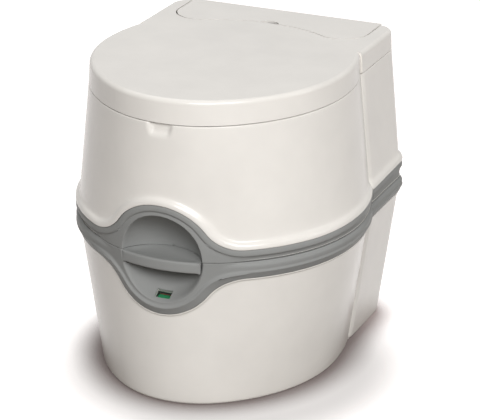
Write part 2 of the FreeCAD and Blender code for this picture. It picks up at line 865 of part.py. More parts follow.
def collar_foot_z():
    return cover_plate_z() + valve_cover_thickness + lip_seal_height + collar_gap


def oval_plate(grow, z0, z1):
    face = Part.Face(round_wire(bowl_half_width + grow, bowl_half_length + grow, bowl_middle_y, z0))
    return face.extrude(Vector(0, 0, z1 - z0))


def bowl():
    """Bowl hung by its flange in the top of the flush tank."""
    top = seam_z + bowl_flange_thickness
    outer = bowl_form(bowl_wall, seam_z).fuse(oval_plate(bowl_flange, seam_z, top))
    inner = bowl_form(0, seam_z).fuse(oval_plate(0, seam_z, top + PAST))
    inner = inner.fuse(rod(outlet_radius, 0, 0, collar_foot_z() - PAST, Z_AXIS, 2 * PAST))
    return outer.cut(inner).cut(rod(hose_bore + running_fit, 0, 0, nozzle_z, Y_AXIS, FAR))


def deck_outline(grow, z):
    """Outline of the rear cover: a hollow front, two round lobes and a straight back."""
    radius = cover_radius - grow
    corner = cover_corner + grow
    corner_x = cover_half - cover_corner
    corner_y = cover_middle_y + math.sqrt((cover_radius + cover_corner)**2 - corner_x**2)
    towards = Vector(corner_x, corner_y - cover_middle_y, 0).normalize()
    meet = Vector(0, cover_middle_y, z) + towards * radius
    inward = Vector(1, 0, 0) - towards
    lobe = Vector(corner_x, corner_y, z) + inward.normalize() * corner
    side = Vector(corner_x + corner, corner_y, z)
    back = Vector(side.x, seam_rear_y + min(grow, 0), z)
    flip = lambda p: Vector(-p.x, p.y, p.z)
    return Part.Wire([
        arc(flip(meet), Vector(0, cover_middle_y + radius, z), meet), arc(meet, lobe, side), line(side, back),
        line(back, flip(back)), line(flip(back), flip(side)), arc(flip(side), flip(lobe), flip(meet))])


def deck_prism(grow, z0, z1):
    return Part.Face(deck_outline(grow, z0)).extrude(Vector(0, 0, z1 - z0))


def service_wall(inset):
    """Prism of the compartment under the rear cover, closed behind by the parapet."""
    prism = deck_prism(-inset, casing_top_z, deck_wall_z)
    return prism.common(box(-FAR, FAR, 0, cover_axis_y - cover_knuckle, 0, FAR))


def parapet():
    """Low rear wall under the cover, with the knuckles that carry the cover's pins."""
    top = tier(seam_plan, casing_top_z, seam_plan, parapet_z)
    half = cover_half - cover_gap
    wall = top.common(box(-half, half, seam_rear_y - parapet_depth, FAR, casing_top_z, parapet_z))
    first = cover_knuckle_x - cover_lug_width - hinge_side_gap
    second = cover_knuckle_x + cover_knuckle_width + hinge_side_gap
    for x in (first, second):
        lug = rod(cover_knuckle, x, cover_axis_y, cover_axis_z, X_AXIS, cover_lug_width)
        post = box(x, x + cover_lug_width, cover_axis_y - cover_knuckle, cover_axis_y + cover_knuckle / 2,
                   casing_top_z, cover_axis_z)
        lug = lug.fuse(post)
        wall = wall.fuse(lug).fuse(mirrored(lug))
    return wall


def cradle():
    """Raised rear corner that follows the round tail of the lid's ear."""
    rear = tier(seam_plan, casing_top_z, seam_plan, hinge_z)
    block = rear.common(box(hinge_cheek_x + hinge_side_gap, FAR, hinge_y + cradle_gap / 2, FAR, 0, FAR))
    return block.cut(rod(tail_radius + cradle_gap, 0, hinge_y, hinge_z, X_AXIS, FAR))


def upper_casing():
    """Flush tank: tapered walls, a flat top with the bowl opening, and the walls of the service deck."""
    casing = casing_tier(casing_foot_z, seam_z)
    behind_y = seam_front_y + 3 * thumb_depth
    solid_front = box(-thumb_width, thumb_width, -FAR, behind_y, seam_z - 2 * thumb_height, FAR)
    cavity = casing_tier(casing_foot_z - PAST, casing_top_z, -casing_wall).cut(solid_front)
    casing = casing.cut(cavity)
    top = recess_z + upper_crest + 2 * bead_width
    bead = skin(casing_tier, casing_foot_z, top, -casing_wall / 2, upper_proud)
    bead = bead.common(upper_edge(-bead_width)).cut(upper_edge())
    casing = casing.fuse(bead).cut(ball(niche_radius))
    casing = casing.cut(oval_plate(bowl_wall + trim_fit, casing_top_z - PAST, FAR))
    wall = service_wall(cover_gap).cut(service_wall(cover_gap + deck_wall))
    boss = rod(hinge_eye, hinge_cheek_x - hinge_boss, hinge_y, hinge_z, X_AXIS, hinge_boss)
    strut_x = cover_half - cover_gap - deck_wall
    strut = box(strut_x, hinge_cheek_x, hinge_y - hinge_eye, hinge_y, casing_top_z, hinge_z)
    casing = casing.fuse(wall).fuse(parapet())
    for piece in (boss, strut, cradle()):
        casing = casing.fuse(piece).fuse(mirrored(piece))
    neck = casing_wall + filler_neck
    casing = casing.fuse(rod(filler_radius + filler_wall, filler_x, service_y, casing_top_z, Z_AXIS, neck))
    casing = casing.cut(rod(filler_radius, filler_x, service_y, casing_top_z - PAST, Z_AXIS, FAR))
    casing = casing.cut(rod(barrel_radius + trim_fit, pump_x, service_y, casing_top_z - PAST, Z_AXIS, FAR))
    casing = casing.cut(rod(hinge_pin, -FAR, hinge_y, hinge_z, X_AXIS, 2 * FAR))
    casing = casing.cut(rod(cover_pin, -FAR, cover_axis_y, cover_axis_z, X_AXIS, 2 * FAR))
    return casing.cut(thumb_notch()).removeSplitter()


def thumb_notch():
    """Tapered scoop under the front of the lid."""
    top = thumb_width / 2
    foot = top - thumb_height / 4
    z = seam_z - thumb_height
    points = [Vector(-top, 0, seam_z), Vector(-foot, 0, z), Vector(foot, 0, z), Vector(top, 0, seam_z)]
    face = Part.Face(Part.makePolygon(points + points[:1]))
    scoop = face.extrude(Vector(0, thumb_depth + step_depth, 0))
    return scoop.translated(Vector(0, seam_front_y - step_depth, 0))


def cover_pins():
    start = cover_knuckle_x - cover_lug_width - hinge_side_gap
    length = cover_knuckle_width + 2 * cover_lug_width + 2 * hinge_side_gap
    return pair(rod(cover_pin, start, cover_axis_y, cover_axis_z, X_AXIS, length))


def hinge_pins():
    start = hinge_cheek_x - hinge_boss
    return pair(rod(hinge_pin, start, hinge_y, hinge_z, X_AXIS, lid_eye_end - start))


def tank_floor():
    """Bottom of the flush tank, domed over the hand recess."""
    plate = casing_tier(floor_z, floor_z + casing_wall, -casing_wall - slide_fit)
    lining = niche_radius + trim_fit
    dome = ball(lining + casing_wall).cut(ball(lining))
    dome = dome.common(casing_tier(floor_z, recess_z + 2 * ball_radius, -casing_wall - slide_fit))
    plate = plate.cut(ball(lining)).fuse(dome)
    return plate.cut(rod(outlet_radius + bowl_wall + trim_fit, 0, 0, 0, Z_AXIS, FAR)).removeSplitter()


def bowl_gasket():
    inner = outlet_radius + bowl_wall
    return pipe(inner + gasket_width, inner + running_fit, 0, 0, floor_z + casing_wall, Z_AXIS, gasket_height)


def pump_barrel():
    """Pump cylinder with a flange on the deck, a guide for the rod and a spigot for the hose."""
    bore = barrel_radius - barrel_wall
    length = seam_z - barrel_foot_z
    barrel = rod(barrel_radius, pump_x, service_y, barrel_foot_z, Z_AXIS, length)
    flange = rod(barrel_radius + barrel_flange, pump_x, service_y, seam_z, Z_AXIS, barrel_flange_height)
    barrel = barrel.fuse(flange)
    barrel = barrel.cut(rod(bore, pump_x, service_y, barrel_foot_z + barrel_wall, Z_AXIS, FAR))
    guide_outer = bore + barrel_wall / 2
    guide = pipe(guide_outer, rod_radius + running_fit, pump_x, service_y, guide_z, Z_AXIS, guide_thickness)
    barrel = barrel.fuse(guide)
    for step in range(inlet_count):
        angle = (step + 0.5) * 2 * math.pi / inlet_count
        inlet_x = pump_x + inlet_ring * math.cos(angle)
        inlet_y = service_y + inlet_ring * math.sin(angle)
        inlet = rod(inlet_radius, inlet_x, inlet_y, barrel_foot_z - PAST, Z_AXIS, barrel_wall + 2 * PAST)
        vent = rod(inlet_radius, inlet_x, inlet_y, guide_z - PAST, Z_AXIS, guide_thickness + 2 * PAST)
        barrel = barrel.cut(inlet).cut(vent)
    spigot_x = pump_x + bore + barrel_wall / 2
    barrel = barrel.fuse(rod(hose_bore, spigot_x, service_y, hose_foot_z, X_AXIS, barrel_wall + hose_grip))
    return barrel.cut(rod(hose_bore - spigot_wall, pump_x, service_y, hose_foot_z, X_AXIS, 2 * barrel_radius))


def pump_knob():
    """Push knob that runs in the mouth of the barrel, with a dished top."""
    radius = barrel_radius - barrel_wall - slide_fit
    knob = rod(radius, pump_x, service_y, knob_foot_z, Z_AXIS, knob_depth)
    knob = knob.makeFillet(knob_round, [e for e in knob.Edges if e.BoundBox.ZMin > knob_top_z - running_fit])
    dish = Part.makeSphere(3 * radius, Vector(pump_x, service_y, knob_top_z + 3 * radius - knob_dish))
    return knob.cut(dish).cut(rod(rod_radius, pump_x, service_y, knob_foot_z, Z_AXIS, rod_socket))


def pump_rod():
    z0 = piston_z + piston_height - rod_seat
    return rod(rod_radius, pump_x, service_y, z0, Z_AXIS, knob_foot_z + rod_socket - z0)


def pump_piston():
    radius = barrel_radius - barrel_wall - slide_fit
    piston = rod(radius, pump_x, service_y, piston_z, Z_AXIS, piston_height)
    inner = radius - piston_groove_depth
    groove = pipe(radius + PAST, inner, pump_x, service_y, piston_z + piston_groove, Z_AXIS, piston_groove)
    seat = rod(rod_radius, pump_x, service_y, piston_z + piston_height - rod_seat, Z_AXIS, piston_height)
    return piston.cut(groove).cut(seat)


def piston_seal():
    radius = barrel_radius - barrel_wall
    inner = radius - slide_fit - piston_groove_depth + running_fit
    z = piston_z + piston_groove + running_fit
    return pipe(radius - running_fit, inner, pump_x, service_y, z, Z_AXIS, piston_groove - 2 * running_fit)


def pump_spring():
    foot = guide_z + guide_thickness + spring_gap
    length = knob_foot_z - spring_gap - foot
    spring = coil(rod_radius + pump_spring_room, pump_spring_wire, pump_spring_turns, length, "pump spring")
    return spring.translated(Vector(pump_x, service_y, foot))


def flush_hose():
    """Hose from the pump's spigot to the nozzle in the bowl: straight runs and tangent bends."""
    start = Vector(pump_x + barrel_radius + trim_fit, service_y, hose_foot_z)
    end_y = nozzle_tail_y() - hose_grip
    corners = [Vector(0, service_y, hose_foot_z), Vector(0, service_y, nozzle_z)]
    points = [start] + corners + [Vector(0, end_y, nozzle_z)]
    edges = []
    at = start
    length = 0.0
    for k, corner in enumerate(corners):
        back = (points[k] - corner).normalize()
        onward = (points[k + 2] - corner).normalize()
        first = corner + back * hose_bend
        last = corner + onward * hose_bend
        centre = corner + (back + onward) * hose_bend
        middle = centre - (back + onward).normalize() * hose_bend
        edges += [line(at, first), arc(first, middle, last)]
        length += at.distanceToPoint(first) + hose_bend * math.pi / 2
        at = last
    edges.append(line(at, points[-1]))
    length += at.distanceToPoint(points[-1])
    spine = Part.Wire(edges)
    tubes = []
    for radius in (hose_radius, hose_bore + running_fit):
        profile = Part.Wire(Part.Circle(start, X_AXIS, radius).toShape())
        tubes.append(spine.makePipeShell([profile], True, False))
    hose = tubes[0].cut(tubes[1])
    section = math.pi * (hose_radius**2 - (hose_bore + running_fit)**2)
    print("flush hose volume over section times length", round(hose.Volume / (section * length), 4))
    return hose


def nozzle_tail_y():
    return bowl_middle_y + bowl_half_length + nozzle_tail


def flush_nozzle():
    """Spigot through the back of the bowl with a rounded head inside."""
    tail = nozzle_tail_y()
    head_y = tail - nozzle_length
    head = Part.makeSphere(nozzle_head, Vector(0, head_y, nozzle_z))
    body = head.fuse(rod(hose_bore, 0, head_y, nozzle_z, Y_AXIS, tail - head_y))
    return body.cut(rod(hose_bore - spigot_wall, 0, head_y, nozzle_z, Y_AXIS, tail - head_y))


def filler_gasket():
    outer = filler_radius + filler_wall
    return pipe(outer, filler_radius, filler_x, service_y, seam_z + filler_neck, Z_AXIS, filler_gasket_height)


def fill_cap():
    """Cap over the filler neck with a grip bar across its top."""
    inner = filler_radius + filler_wall + running_fit
    outer = inner + fill_cap_wall
    foot = seam_z + slide_fit
    inside_z = seam_z + filler_neck + filler_gasket_height + running_fit
    top = inside_z + fill_cap_wall
    cap = rod(outer, filler_x, service_y, foot, Z_AXIS, top - foot)
    cap = cap.cut(rod(inner, filler_x, service_y, foot, Z_AXIS, inside_z - foot))
    reach = outer - grip_inset
    grip = box(filler_x - reach, filler_x + reach, service_y - grip_half, service_y + grip_half,
               top, top + grip_height)
    upright = [e for e in grip.Edges if e.BoundBox.ZLength > grip_height / 2]
    return cap.fuse(grip.makeFillet(grip_round, upright))


def tilted(z_shift):
    """Half space under the sloping top of the lid and the cover."""
    slope = math.degrees(math.atan2(lid_front_z - lid_rear_z, lid_rear_y - lid_front_y))
    half = Part.makeBox(2 * FAR, 3 * FAR, FAR, Vector(-FAR, -FAR, -FAR))
    half.rotate(Vector(0, 0, 0), X_AXIS, -slope)
    return half.translated(Vector(0, lid_front_y, lid_front_z + z_shift))


def rounded_top(solid, radius):
    """Rounds the upper edges of a lid form, leaving the two that meet inside the body."""
    chosen = []
    for edge in solid.Edges:
        middle = edge.valueAt((edge.FirstParameter + edge.LastParameter) / 2)
        inside = abs(middle.x) < lid_block_half - 2 * step_depth and 0 < middle.y < lid_rear_y - step_depth
        flat = edge.BoundBox.ZLength < edge.Length / 3
        high = middle.z > lid_rear_z - lid_wall
        if flat and high and not inside and abs(middle.y - block_front_y) > 2 * step_depth:
            chosen.append(edge)
    return solid.makeFillet(radius, chosen)


def lid_form(grow, z_shift, round_radius):
    """Outer or inner form of the lid with its sloping top."""
    forms = []
    for wire in (oval_wire, block_wire):
        ends = [wire(seam_plan, seam_z + seam_gap, grow), wire(lid_plan, seam_z + lid_taper_rise, grow)]
        form = Part.makeLoft(ends, True, True).common(tilted(z_shift))
        if round_radius:
            form = rounded_top(form, round_radius)
        forms.append(form)
    return forms[0].fuse(forms[1]).removeSplitter()


def lid_shell():
    """Lid with two ears that reach back beside the rear cover to the hinge."""
    lid = lid_form(0, 0, lid_round)
    hollow = lid_form(-lid_wall, -lid_wall, 0)
    hollow = hollow.fuse(hollow.translated(Vector(0, 0, -lid_wall)))
    rear_gap = box(-cover_half, cover_half, seam_rear_y - rear_corner, FAR, 0, FAR)
    lid = lid.cut(hollow).cut(deck_prism(cover_gap, seam_z, FAR).fuse(rear_gap))
    eye_x = hinge_cheek_x + seat_arm + 2 * hinge_side_gap
    eye = rod(hinge_eye, eye_x, hinge_y, hinge_z, X_AXIS, lid_eye_end - eye_x)
    web = box(eye_x, lid_eye_end, hinge_y - hinge_eye, hinge_y + hinge_eye, hinge_z, FAR)
    eye = eye.fuse(web).common(lid_form(-lid_wall / 2, -lid_wall / 2, 0))
    lid = lid.fuse(eye).fuse(mirrored(eye))
    tail = box(-FAR, FAR, hinge_y, FAR, 0, FAR)
    lid = lid.cut(tail.cut(rod(tail_radius, -FAR, hinge_y, hinge_z, X_AXIS, 2 * FAR)))
    lane = box(cover_half, eye_x, hinge_y - hinge_eye - cradle_gap, FAR, 0, FAR).common(tilted(-lid_wall))
    bore = rod(hinge_pin + running_fit, -FAR, hinge_y, hinge_z, X_AXIS, 2 * FAR)
    return lid.cut(lane).cut(mirrored(lane)).cut(bore)


def lid_buffers():
    foot = seat_z() + seat_thickness + trim_fit
    pad = rod(pad_radius, seam_half_width - lid_pad_inset, lid_pad_y, foot, Z_AXIS, FAR)
    return pair(pad.common(tilted(-lid_wall)))


def seat_z():
    return seam_z + seat_gap


def seat_ring():
    """Seat with rounded edges and two arms that run back to the hinge pins."""
    plan = grown(seam_plan, -seat_inset)
    z = seat_z()
    rear = cover_middle_y + cover_radius - seat_rear_gap - oval_middle_y
    front = Part.Face(oval_wire(plan, z, 0)).extrude(Vector(0, 0, seat_thickness))
    front = front.common(box(-FAR, FAR, -FAR, oval_middle_y, 0, FAR))
    back = Part.Face(round_wire(plan[0], rear, oval_middle_y, z)).extrude(Vector(0, 0, seat_thickness))
    seat = front.fuse(back.common(box(-FAR, FAR, oval_middle_y, FAR, 0, FAR))).removeSplitter()
    top = z + seat_thickness
    seat = seat.makeFillet(seat_round, [e for e in seat.Edges if e.BoundBox.ZMin > top - running_fit])
    seat = seat.cut(oval_plate(-seat_lap, z - PAST, top + PAST))
    rim = [e for e in seat.Edges if e.BoundBox.ZMin > top - running_fit
           and e.BoundBox.XLength > bowl_half_width and e.BoundBox.XLength < 2 * bowl_half_width]
    seat = seat.makeFillet(seat_round, rim)
    arm_x = hinge_cheek_x + hinge_side_gap
    arm = box(arm_x, arm_x + seat_arm, 0, hinge_y, z + seat_arm_inset, top - seat_arm_inset)
    arm = arm.fuse(rod(hinge_eye, arm_x, hinge_y, hinge_z, X_AXIS, seat_arm))
    seat = seat.fuse(arm).fuse(mirrored(arm))
    return seat.cut(rod(hinge_pin + running_fit, -FAR, hinge_y, hinge_z, X_AXIS, 2 * FAR)).removeSplitter()


def seat_buffers():
    z = seam_z + trim_fit
    x = seam_half_width - seat_pad_inset
    pads = [rod(pad_radius, x, y, z, Z_AXIS, seat_z() - z) for y in (seat_pad_front_y, seat_pad_rear_y)]
    return Part.makeCompound([pair(pad) for pad in pads])


def rear_cover():
    """Sloping cover of the service deck with a finger notch, a rim below and two hinge knuckles."""
    plate = deck_prism(0, seam_z, FAR).common(tilted(0)).cut(tilted(-cover_thickness))
    rim = deck_prism(-cover_gap, seam_z, FAR).cut(deck_prism(-cover_gap - deck_wall, seam_z, FAR))
    rim = rim.common(tilted(-cover_thickness / 2))
    rim_end_y = hinge_y - hinge_eye - cover_gap
    rim = rim.common(box(-FAR, FAR, 0, rim_end_y, deck_wall_z + trim_fit, FAR))
    skirt_y = cover_axis_y + running_fit
    skirt = box(-cover_skirt_half, cover_skirt_half, skirt_y, seam_rear_y, parapet_z + cover_rear_gap, FAR)
    cover = plate.fuse(rim).fuse(skirt.common(tilted(-cover_thickness / 2)))
    notch_y = cover_middle_y + cover_radius + cover_notch_depth - cover_notch
    cover = cover.cut(rod(cover_notch, 0, notch_y, seam_z, Z_AXIS, FAR))
    lug = cover_lug_width + 2 * hinge_side_gap
    knuckle_end = cover_knuckle_x + cover_knuckle_width
    gap = box(cover_knuckle_x - lug, knuckle_end + lug, 0, FAR, 0, cover_axis_z + cover_knuckle + PAST)
    cover = cover.cut(gap).cut(mirrored(gap))
    knuckle = rod(cover_knuckle, cover_knuckle_x, cover_axis_y, cover_axis_z, X_AXIS, cover_knuckle_width)
    web = box(cover_knuckle_x, knuckle_end, cover_axis_y - cover_pin, cover_axis_y + cover_knuckle,
              cover_axis_z, FAR)
    knuckle = knuckle.fuse(web.common(tilted(-cover_thickness / 2)))
    cover = cover.fuse(knuckle).fuse(mirrored(knuckle))
    bore = rod(cover_pin + running_fit, -FAR, cover_axis_y, cover_axis_z, X_AXIS, 2 * FAR)
    return cover.cut(bore).removeSplitter()


pieces = {
    "waste_tank": waste_tank,
    "lower_band": lower_band,
    "indicator_window": indicator_window,
    "valve_base": valve_base,
    "valve_cover": valve_cover,
    "valve_screws": valve_screws,
    "blade_seal": blade_seal,
    "lip_seal": lip_seal,
    "valve_blade": valve_blade,
    "valve_handle": valve_handle,
    "pour_spout": pour_spout,
    "spout_seal": spout_seal,
    "spout_cap": spout_cap,
    "cap_seal": cap_seal,
    "vent_button": vent_button,
    "vent_disc": vent_disc,
    "vent_spring": vent_spring,
    "float_bracket": float_bracket,
    "float_pin": float_pin,
    "float_rod": float_rod,
    "gauge_float": gauge_float,
    "flag_green": lambda: flag(-flag_sweep / 2, flag_sweep),
    "flag_red": lambda: flag(-1.5 * flag_sweep, flag_sweep),
    "rear_latch": rear_latch,
    "latch_keeper": latch_keeper,
    "upper_casing": upper_casing,
    "upper_band": upper_band,
    "tank_floor": tank_floor,
    "bowl": bowl,
    "bowl_gasket": bowl_gasket,
    "pump_barrel": pump_barrel,
    "pump_knob": pump_knob,
    "pump_rod": pump_rod,
    "pump_piston": pump_piston,
    "piston_seal": piston_seal,
    "pump_spring": pump_spring,
    "flush_hose": flush_hose,
    "flush_nozzle": flush_nozzle,
    "filler_gasket": filler_gasket,
    "fill_cap": fill_cap,
    "hinge_pins": hinge_pins,
    "cover_pins": cover_pins,
    "seat_ring": seat_ring,
    "seat_buffers": seat_buffers,
    "lid_shell": lid_shell,
    "lid_buffers": lid_buffers,
    "rear_cover": rear_cover,
}

os.makedirs("parts", exist_ok=True)
for name, make in pieces.items():
    shape = make()
    shape.exportStep("parts/" + name + ".step")
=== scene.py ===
import json
import math

import bmesh
import bpy
from bpy.props import FloatProperty, FloatVectorProperty, PointerProperty
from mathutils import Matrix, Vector


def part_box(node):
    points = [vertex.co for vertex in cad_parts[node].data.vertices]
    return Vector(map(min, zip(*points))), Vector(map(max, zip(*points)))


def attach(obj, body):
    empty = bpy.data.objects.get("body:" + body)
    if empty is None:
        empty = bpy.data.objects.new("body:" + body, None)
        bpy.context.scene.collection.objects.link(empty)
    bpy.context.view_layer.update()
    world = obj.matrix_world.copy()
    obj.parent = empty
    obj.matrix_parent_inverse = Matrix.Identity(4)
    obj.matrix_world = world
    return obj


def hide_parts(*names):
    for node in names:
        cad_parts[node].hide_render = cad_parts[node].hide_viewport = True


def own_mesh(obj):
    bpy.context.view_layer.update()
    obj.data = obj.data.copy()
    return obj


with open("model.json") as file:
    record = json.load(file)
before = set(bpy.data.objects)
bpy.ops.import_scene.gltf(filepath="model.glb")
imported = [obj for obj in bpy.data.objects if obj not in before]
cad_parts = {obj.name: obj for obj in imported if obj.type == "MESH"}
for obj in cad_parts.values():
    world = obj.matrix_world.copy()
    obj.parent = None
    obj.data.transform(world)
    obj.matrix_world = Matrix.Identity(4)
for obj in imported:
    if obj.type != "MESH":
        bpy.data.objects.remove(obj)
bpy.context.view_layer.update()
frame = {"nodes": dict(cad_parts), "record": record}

bl_info = {
    "name": "Portable Toilet",
    "version": (1, 0, 0),
    "blender": (4, 5, 0),
    "location": "View3D > Sidebar > Portable Toilet",
    "description": "Dresses the packed frame of a two-section portable toilet",
    "category": "Object",
}

# One millimetre in metres
MM = 0.001


def length(name, description, default):
    """A size in metres."""
    return FloatProperty(name=name, description=description, default=default, unit="LENGTH", precision=4)


def plan(name, description, default):
    """A plan outline: half width, front, half width of the block, rear."""
    return FloatVectorProperty(name=name, description=description, size=4, default=default, unit="LENGTH")


def position(name, description, default):
    """A point in metres."""
    return FloatVectorProperty(name=name, description=description, size=3, default=default, subtype="XYZ")


def angle(name, description, degrees):
    """An angle, given in degrees."""
    return FloatProperty(name=name, description=description, default=math.radians(degrees), subtype="ANGLE")


def colour(name, description, default):
    """A surface colour."""
    return FloatVectorProperty(
        name=name, description=description, size=3, default=default, subtype="COLOR", min=0, max=1)


class HousingSizes(bpy.types.PropertyGroup):
    """Plans and heights of the white housings."""

    base_plan: plan("Base plan", "Outline at the floor", (0.1705, -0.211, 0.1625, 0.2155))
    belt_plan: plan("Belt plan", "Outline at the belt", (0.2065, -0.2205, 0.1925, 0.219))
    seam_plan: plan("Seam plan", "Outline at the lid seam", (0.1855, -0.2165, 0.1735, 0.2215))
    middle_y: length("Oval middle", "Where the oval is widest", -0.004)
    block_y: length("Block front", "Where the oval steps out to the block", 0.081)
    step: length("Step", "Depth of the step from oval to block", 0.003)
    corner: length("Rear corner", "Radius of the rear corners", 0.030)
    nose_share: FloatProperty(name="Nose share", description="Roundness of the nose", default=0.92)
    tank_rim_z: length("Tank rim", "Height of the waste tank's rim", 0.218)
    casing_foot_z: length("Casing foot", "Height of the flush casing's foot", 0.222)
    seam_z: length("Lid seam", "Height of the lid seam", 0.412)
    foot_chamfer: length("Foot chamfer", "Bevel round the foot of the tank", 0.003)
    wall: length("Wall", "Wall of the housings", 0.003)
    flare: length("Flare", "How far the casing's lip stands out over the belt", 0.0055)
    thumb_width: length("Thumb notch", "Width of the notch under the lid", 0.040)
    thumb_height: length("Thumb notch height", "Height of the notch under the lid", 0.019)
    thumb_depth: length("Thumb notch depth", "Depth of the notch under the lid", 0.005)
    thumb_side: length("Thumb notch sides", "Width of the notch's sloping sides", 0.007)
    thumb_foot: length("Thumb notch foot", "Height of the notch's sloping foot", 0.009)
    seam_rounding: length("Seam rounding", "Rounding of the casing's edge under the lid", 0.0015)


class BeltSizes(bpy.types.PropertyGroup):
    """Edges of the grey belt and its hand recess."""

    upper_z: length("Upper edge", "Height of the belt's upper edge at the sides", 0.238)
    lower_z: length("Lower edge", "Height of the belt's lower edge at the sides", 0.1945)
    upper_rise: length("Upper rise", "How much higher the upper edge lies at the back", 0.008)
    lower_rise: length("Lower rise", "How much higher the lower edge lies at the back", 0.003)
    upper_crest: length("Upper crest", "Radius of the swell above the recess", 0.079)
    lower_crest: length("Lower crest", "Radius of the swell below the recess", 0.082)
    crest_fillet: length("Crest fillet", "Radius where the swell runs into the sides", 0.060)
    recess_z: length("Recess height", "Height of the recess's middle", 0.2185)
    recess_radius: length("Recess radius", "Radius of the recess's rim", 0.063)
    recess_depth: length("Recess depth", "Depth of the recess", 0.048)
    field_proud: length("Field", "How far the field of the belt stands out", 0.0015)
    parting_z: length("Parting", "Height of the joint between the bands", 0.220)
    parting_gap: length("Parting gap", "Gap between the bands", 0.0006)
    shell: length("Band wall", "Wall of the bands", 0.001)
    blade_slot: length("Blade slot", "Half width of the slot for the valve's blade", 0.0366)
    window_drop: length("Window drop", "From the recess's middle down to the window", 0.057)
    window_width: length("Window width", "Width of the gauge window", 0.023)
    window_height: length("Window height", "Height of the gauge window", 0.014)
    upper_rim: length("Upper rim", "Rounding of the recess's rim above the pull", 0.003)
    lower_rim: length("Lower rim", "Rounding of the recess's rim below the pull", 0.008)


class HandleSizes(bpy.types.PropertyGroup):
    """Valve pull in the recess."""

    height: length("Height", "Height of the pull", 0.016)
    proud: length("Proud", "How far the pull stands out", 0.004)
    fit: length("Fit", "Gap between the pull and the recess", 0.0005)
    edge: length("Edge", "Rounding of the front edges", 0.0028)
    dish: length("Dish", "Depth of the finger dish", 0.0015)
    dish_radius: length("Dish radius", "Radius of the finger dish", 0.040)
    dish_rim: length("Dish rim", "Width of the flat rim round the finger dish", 0.0015)


class FinishColours(bpy.types.PropertyGroup):
    """Colours of the finishes."""

    shell_white: colour("Shell white", "Glossy warm white of the housings", (0.80, 0.775, 0.735))
    trim_grey: colour("Trim grey", "Satin grey of the belt and pull", (0.29, 0.295, 0.29))
    inner_white: colour("Inner white", "Plain white of the inner fittings", (0.70, 0.70, 0.68))
    fitting_grey: colour("Fitting grey", "Grey of the knob, caps and spout", (0.20, 0.205, 0.21))
    rubber_black: colour("Rubber", "Black of the seals", (0.020, 0.020, 0.022))
    hose_clear: colour("Hose", "Milky hose", (0.62, 0.64, 0.62))
    steel: colour("Steel", "Pins and springs", (0.56, 0.56, 0.55))
    flag_green: colour("Green flag", "Flag of the empty tank", (0.0, 0.30, 0.10))
    flag_red: colour("Red flag", "Flag of the full tank", (0.55, 0.02, 0.015))
    window_tint: colour("Window", "Tint of the clear gauge window", (0.10, 0.14, 0.12))


class StageSettings(bpy.types.PropertyGroup):
    """Camera, floor and light."""

    azimuth: angle("Azimuth", "Camera's angle round the object", 23.68)
    elevation: angle("Elevation", "Camera's angle above the floor", 22.25)
    roll: angle("Roll", "Camera's roll", 0.13)
    distance: length("Distance", "From the camera to its target", 3.623)
    target: position("Target", "Point the camera looks at", (0.00223, 0.04554, 0.1914))
    lens: FloatProperty(name="Lens", description="Focal length in mm", default=187.9)
    sensor: FloatProperty(name="Sensor", description="Width of the camera's sensor in mm", default=36)
    floor_half: length("Floor", "Half the width of the floor", 12.0)
    floor_drop: length("Floor drop", "How far the floor lies below the foot", 0.0005)
    floor_colour: colour("Floor colour", "Pale floor", (0.56, 0.545, 0.54))
    shadow_colour: colour("Contact shadow", "Floor close round the foot", (0.16, 0.135, 0.13))
    shadow_reach: length("Shadow reach", "How far the contact shadow spreads", 0.05)
    shade_middle: position("Shade middle", "Middle of the darker floor", (0.035, -0.06, 0))
    shade_start: length("Shade start", "Where the floor starts to brighten", 0.18)
    shade_end: length("Shade end", "Where the floor is brightest", 0.30)
    bounce_colour: colour("Floor bounce", "Light that the floor throws back", (0.24, 0.215, 0.195))
    sky_colour: colour("Sky", "Soft light from all round", (1.0, 0.945, 0.88))
    sky_strength: FloatProperty(name="Sky strength", description="Strength of the soft light", default=0.17)


def settings(name):
    """One of the groups of settings."""
    return getattr(bpy.context.scene, "toilet_" + name)


def mixed(low, high, share):
    """Values at a share of the way from low to high."""
    return tuple(p + (q - p) * share for p, q in zip(low, high))


def limited(share):
    """A share kept between none and all."""
    return min(max(share, 0), 1)


def eased(share):
    """A share that starts and ends gently."""
    share = limited(share)
    return share * share * (3 - 2 * share)


# Soft step from the oval to the block: its start before and end after the block's front, its groove's depth
# in metres, and the share of the step that the groove takes
STEP_START = 0.004
STEP_END = 0.009
STEP_GROOVE = 0.0012
GROOVE_SHARE = 0.45


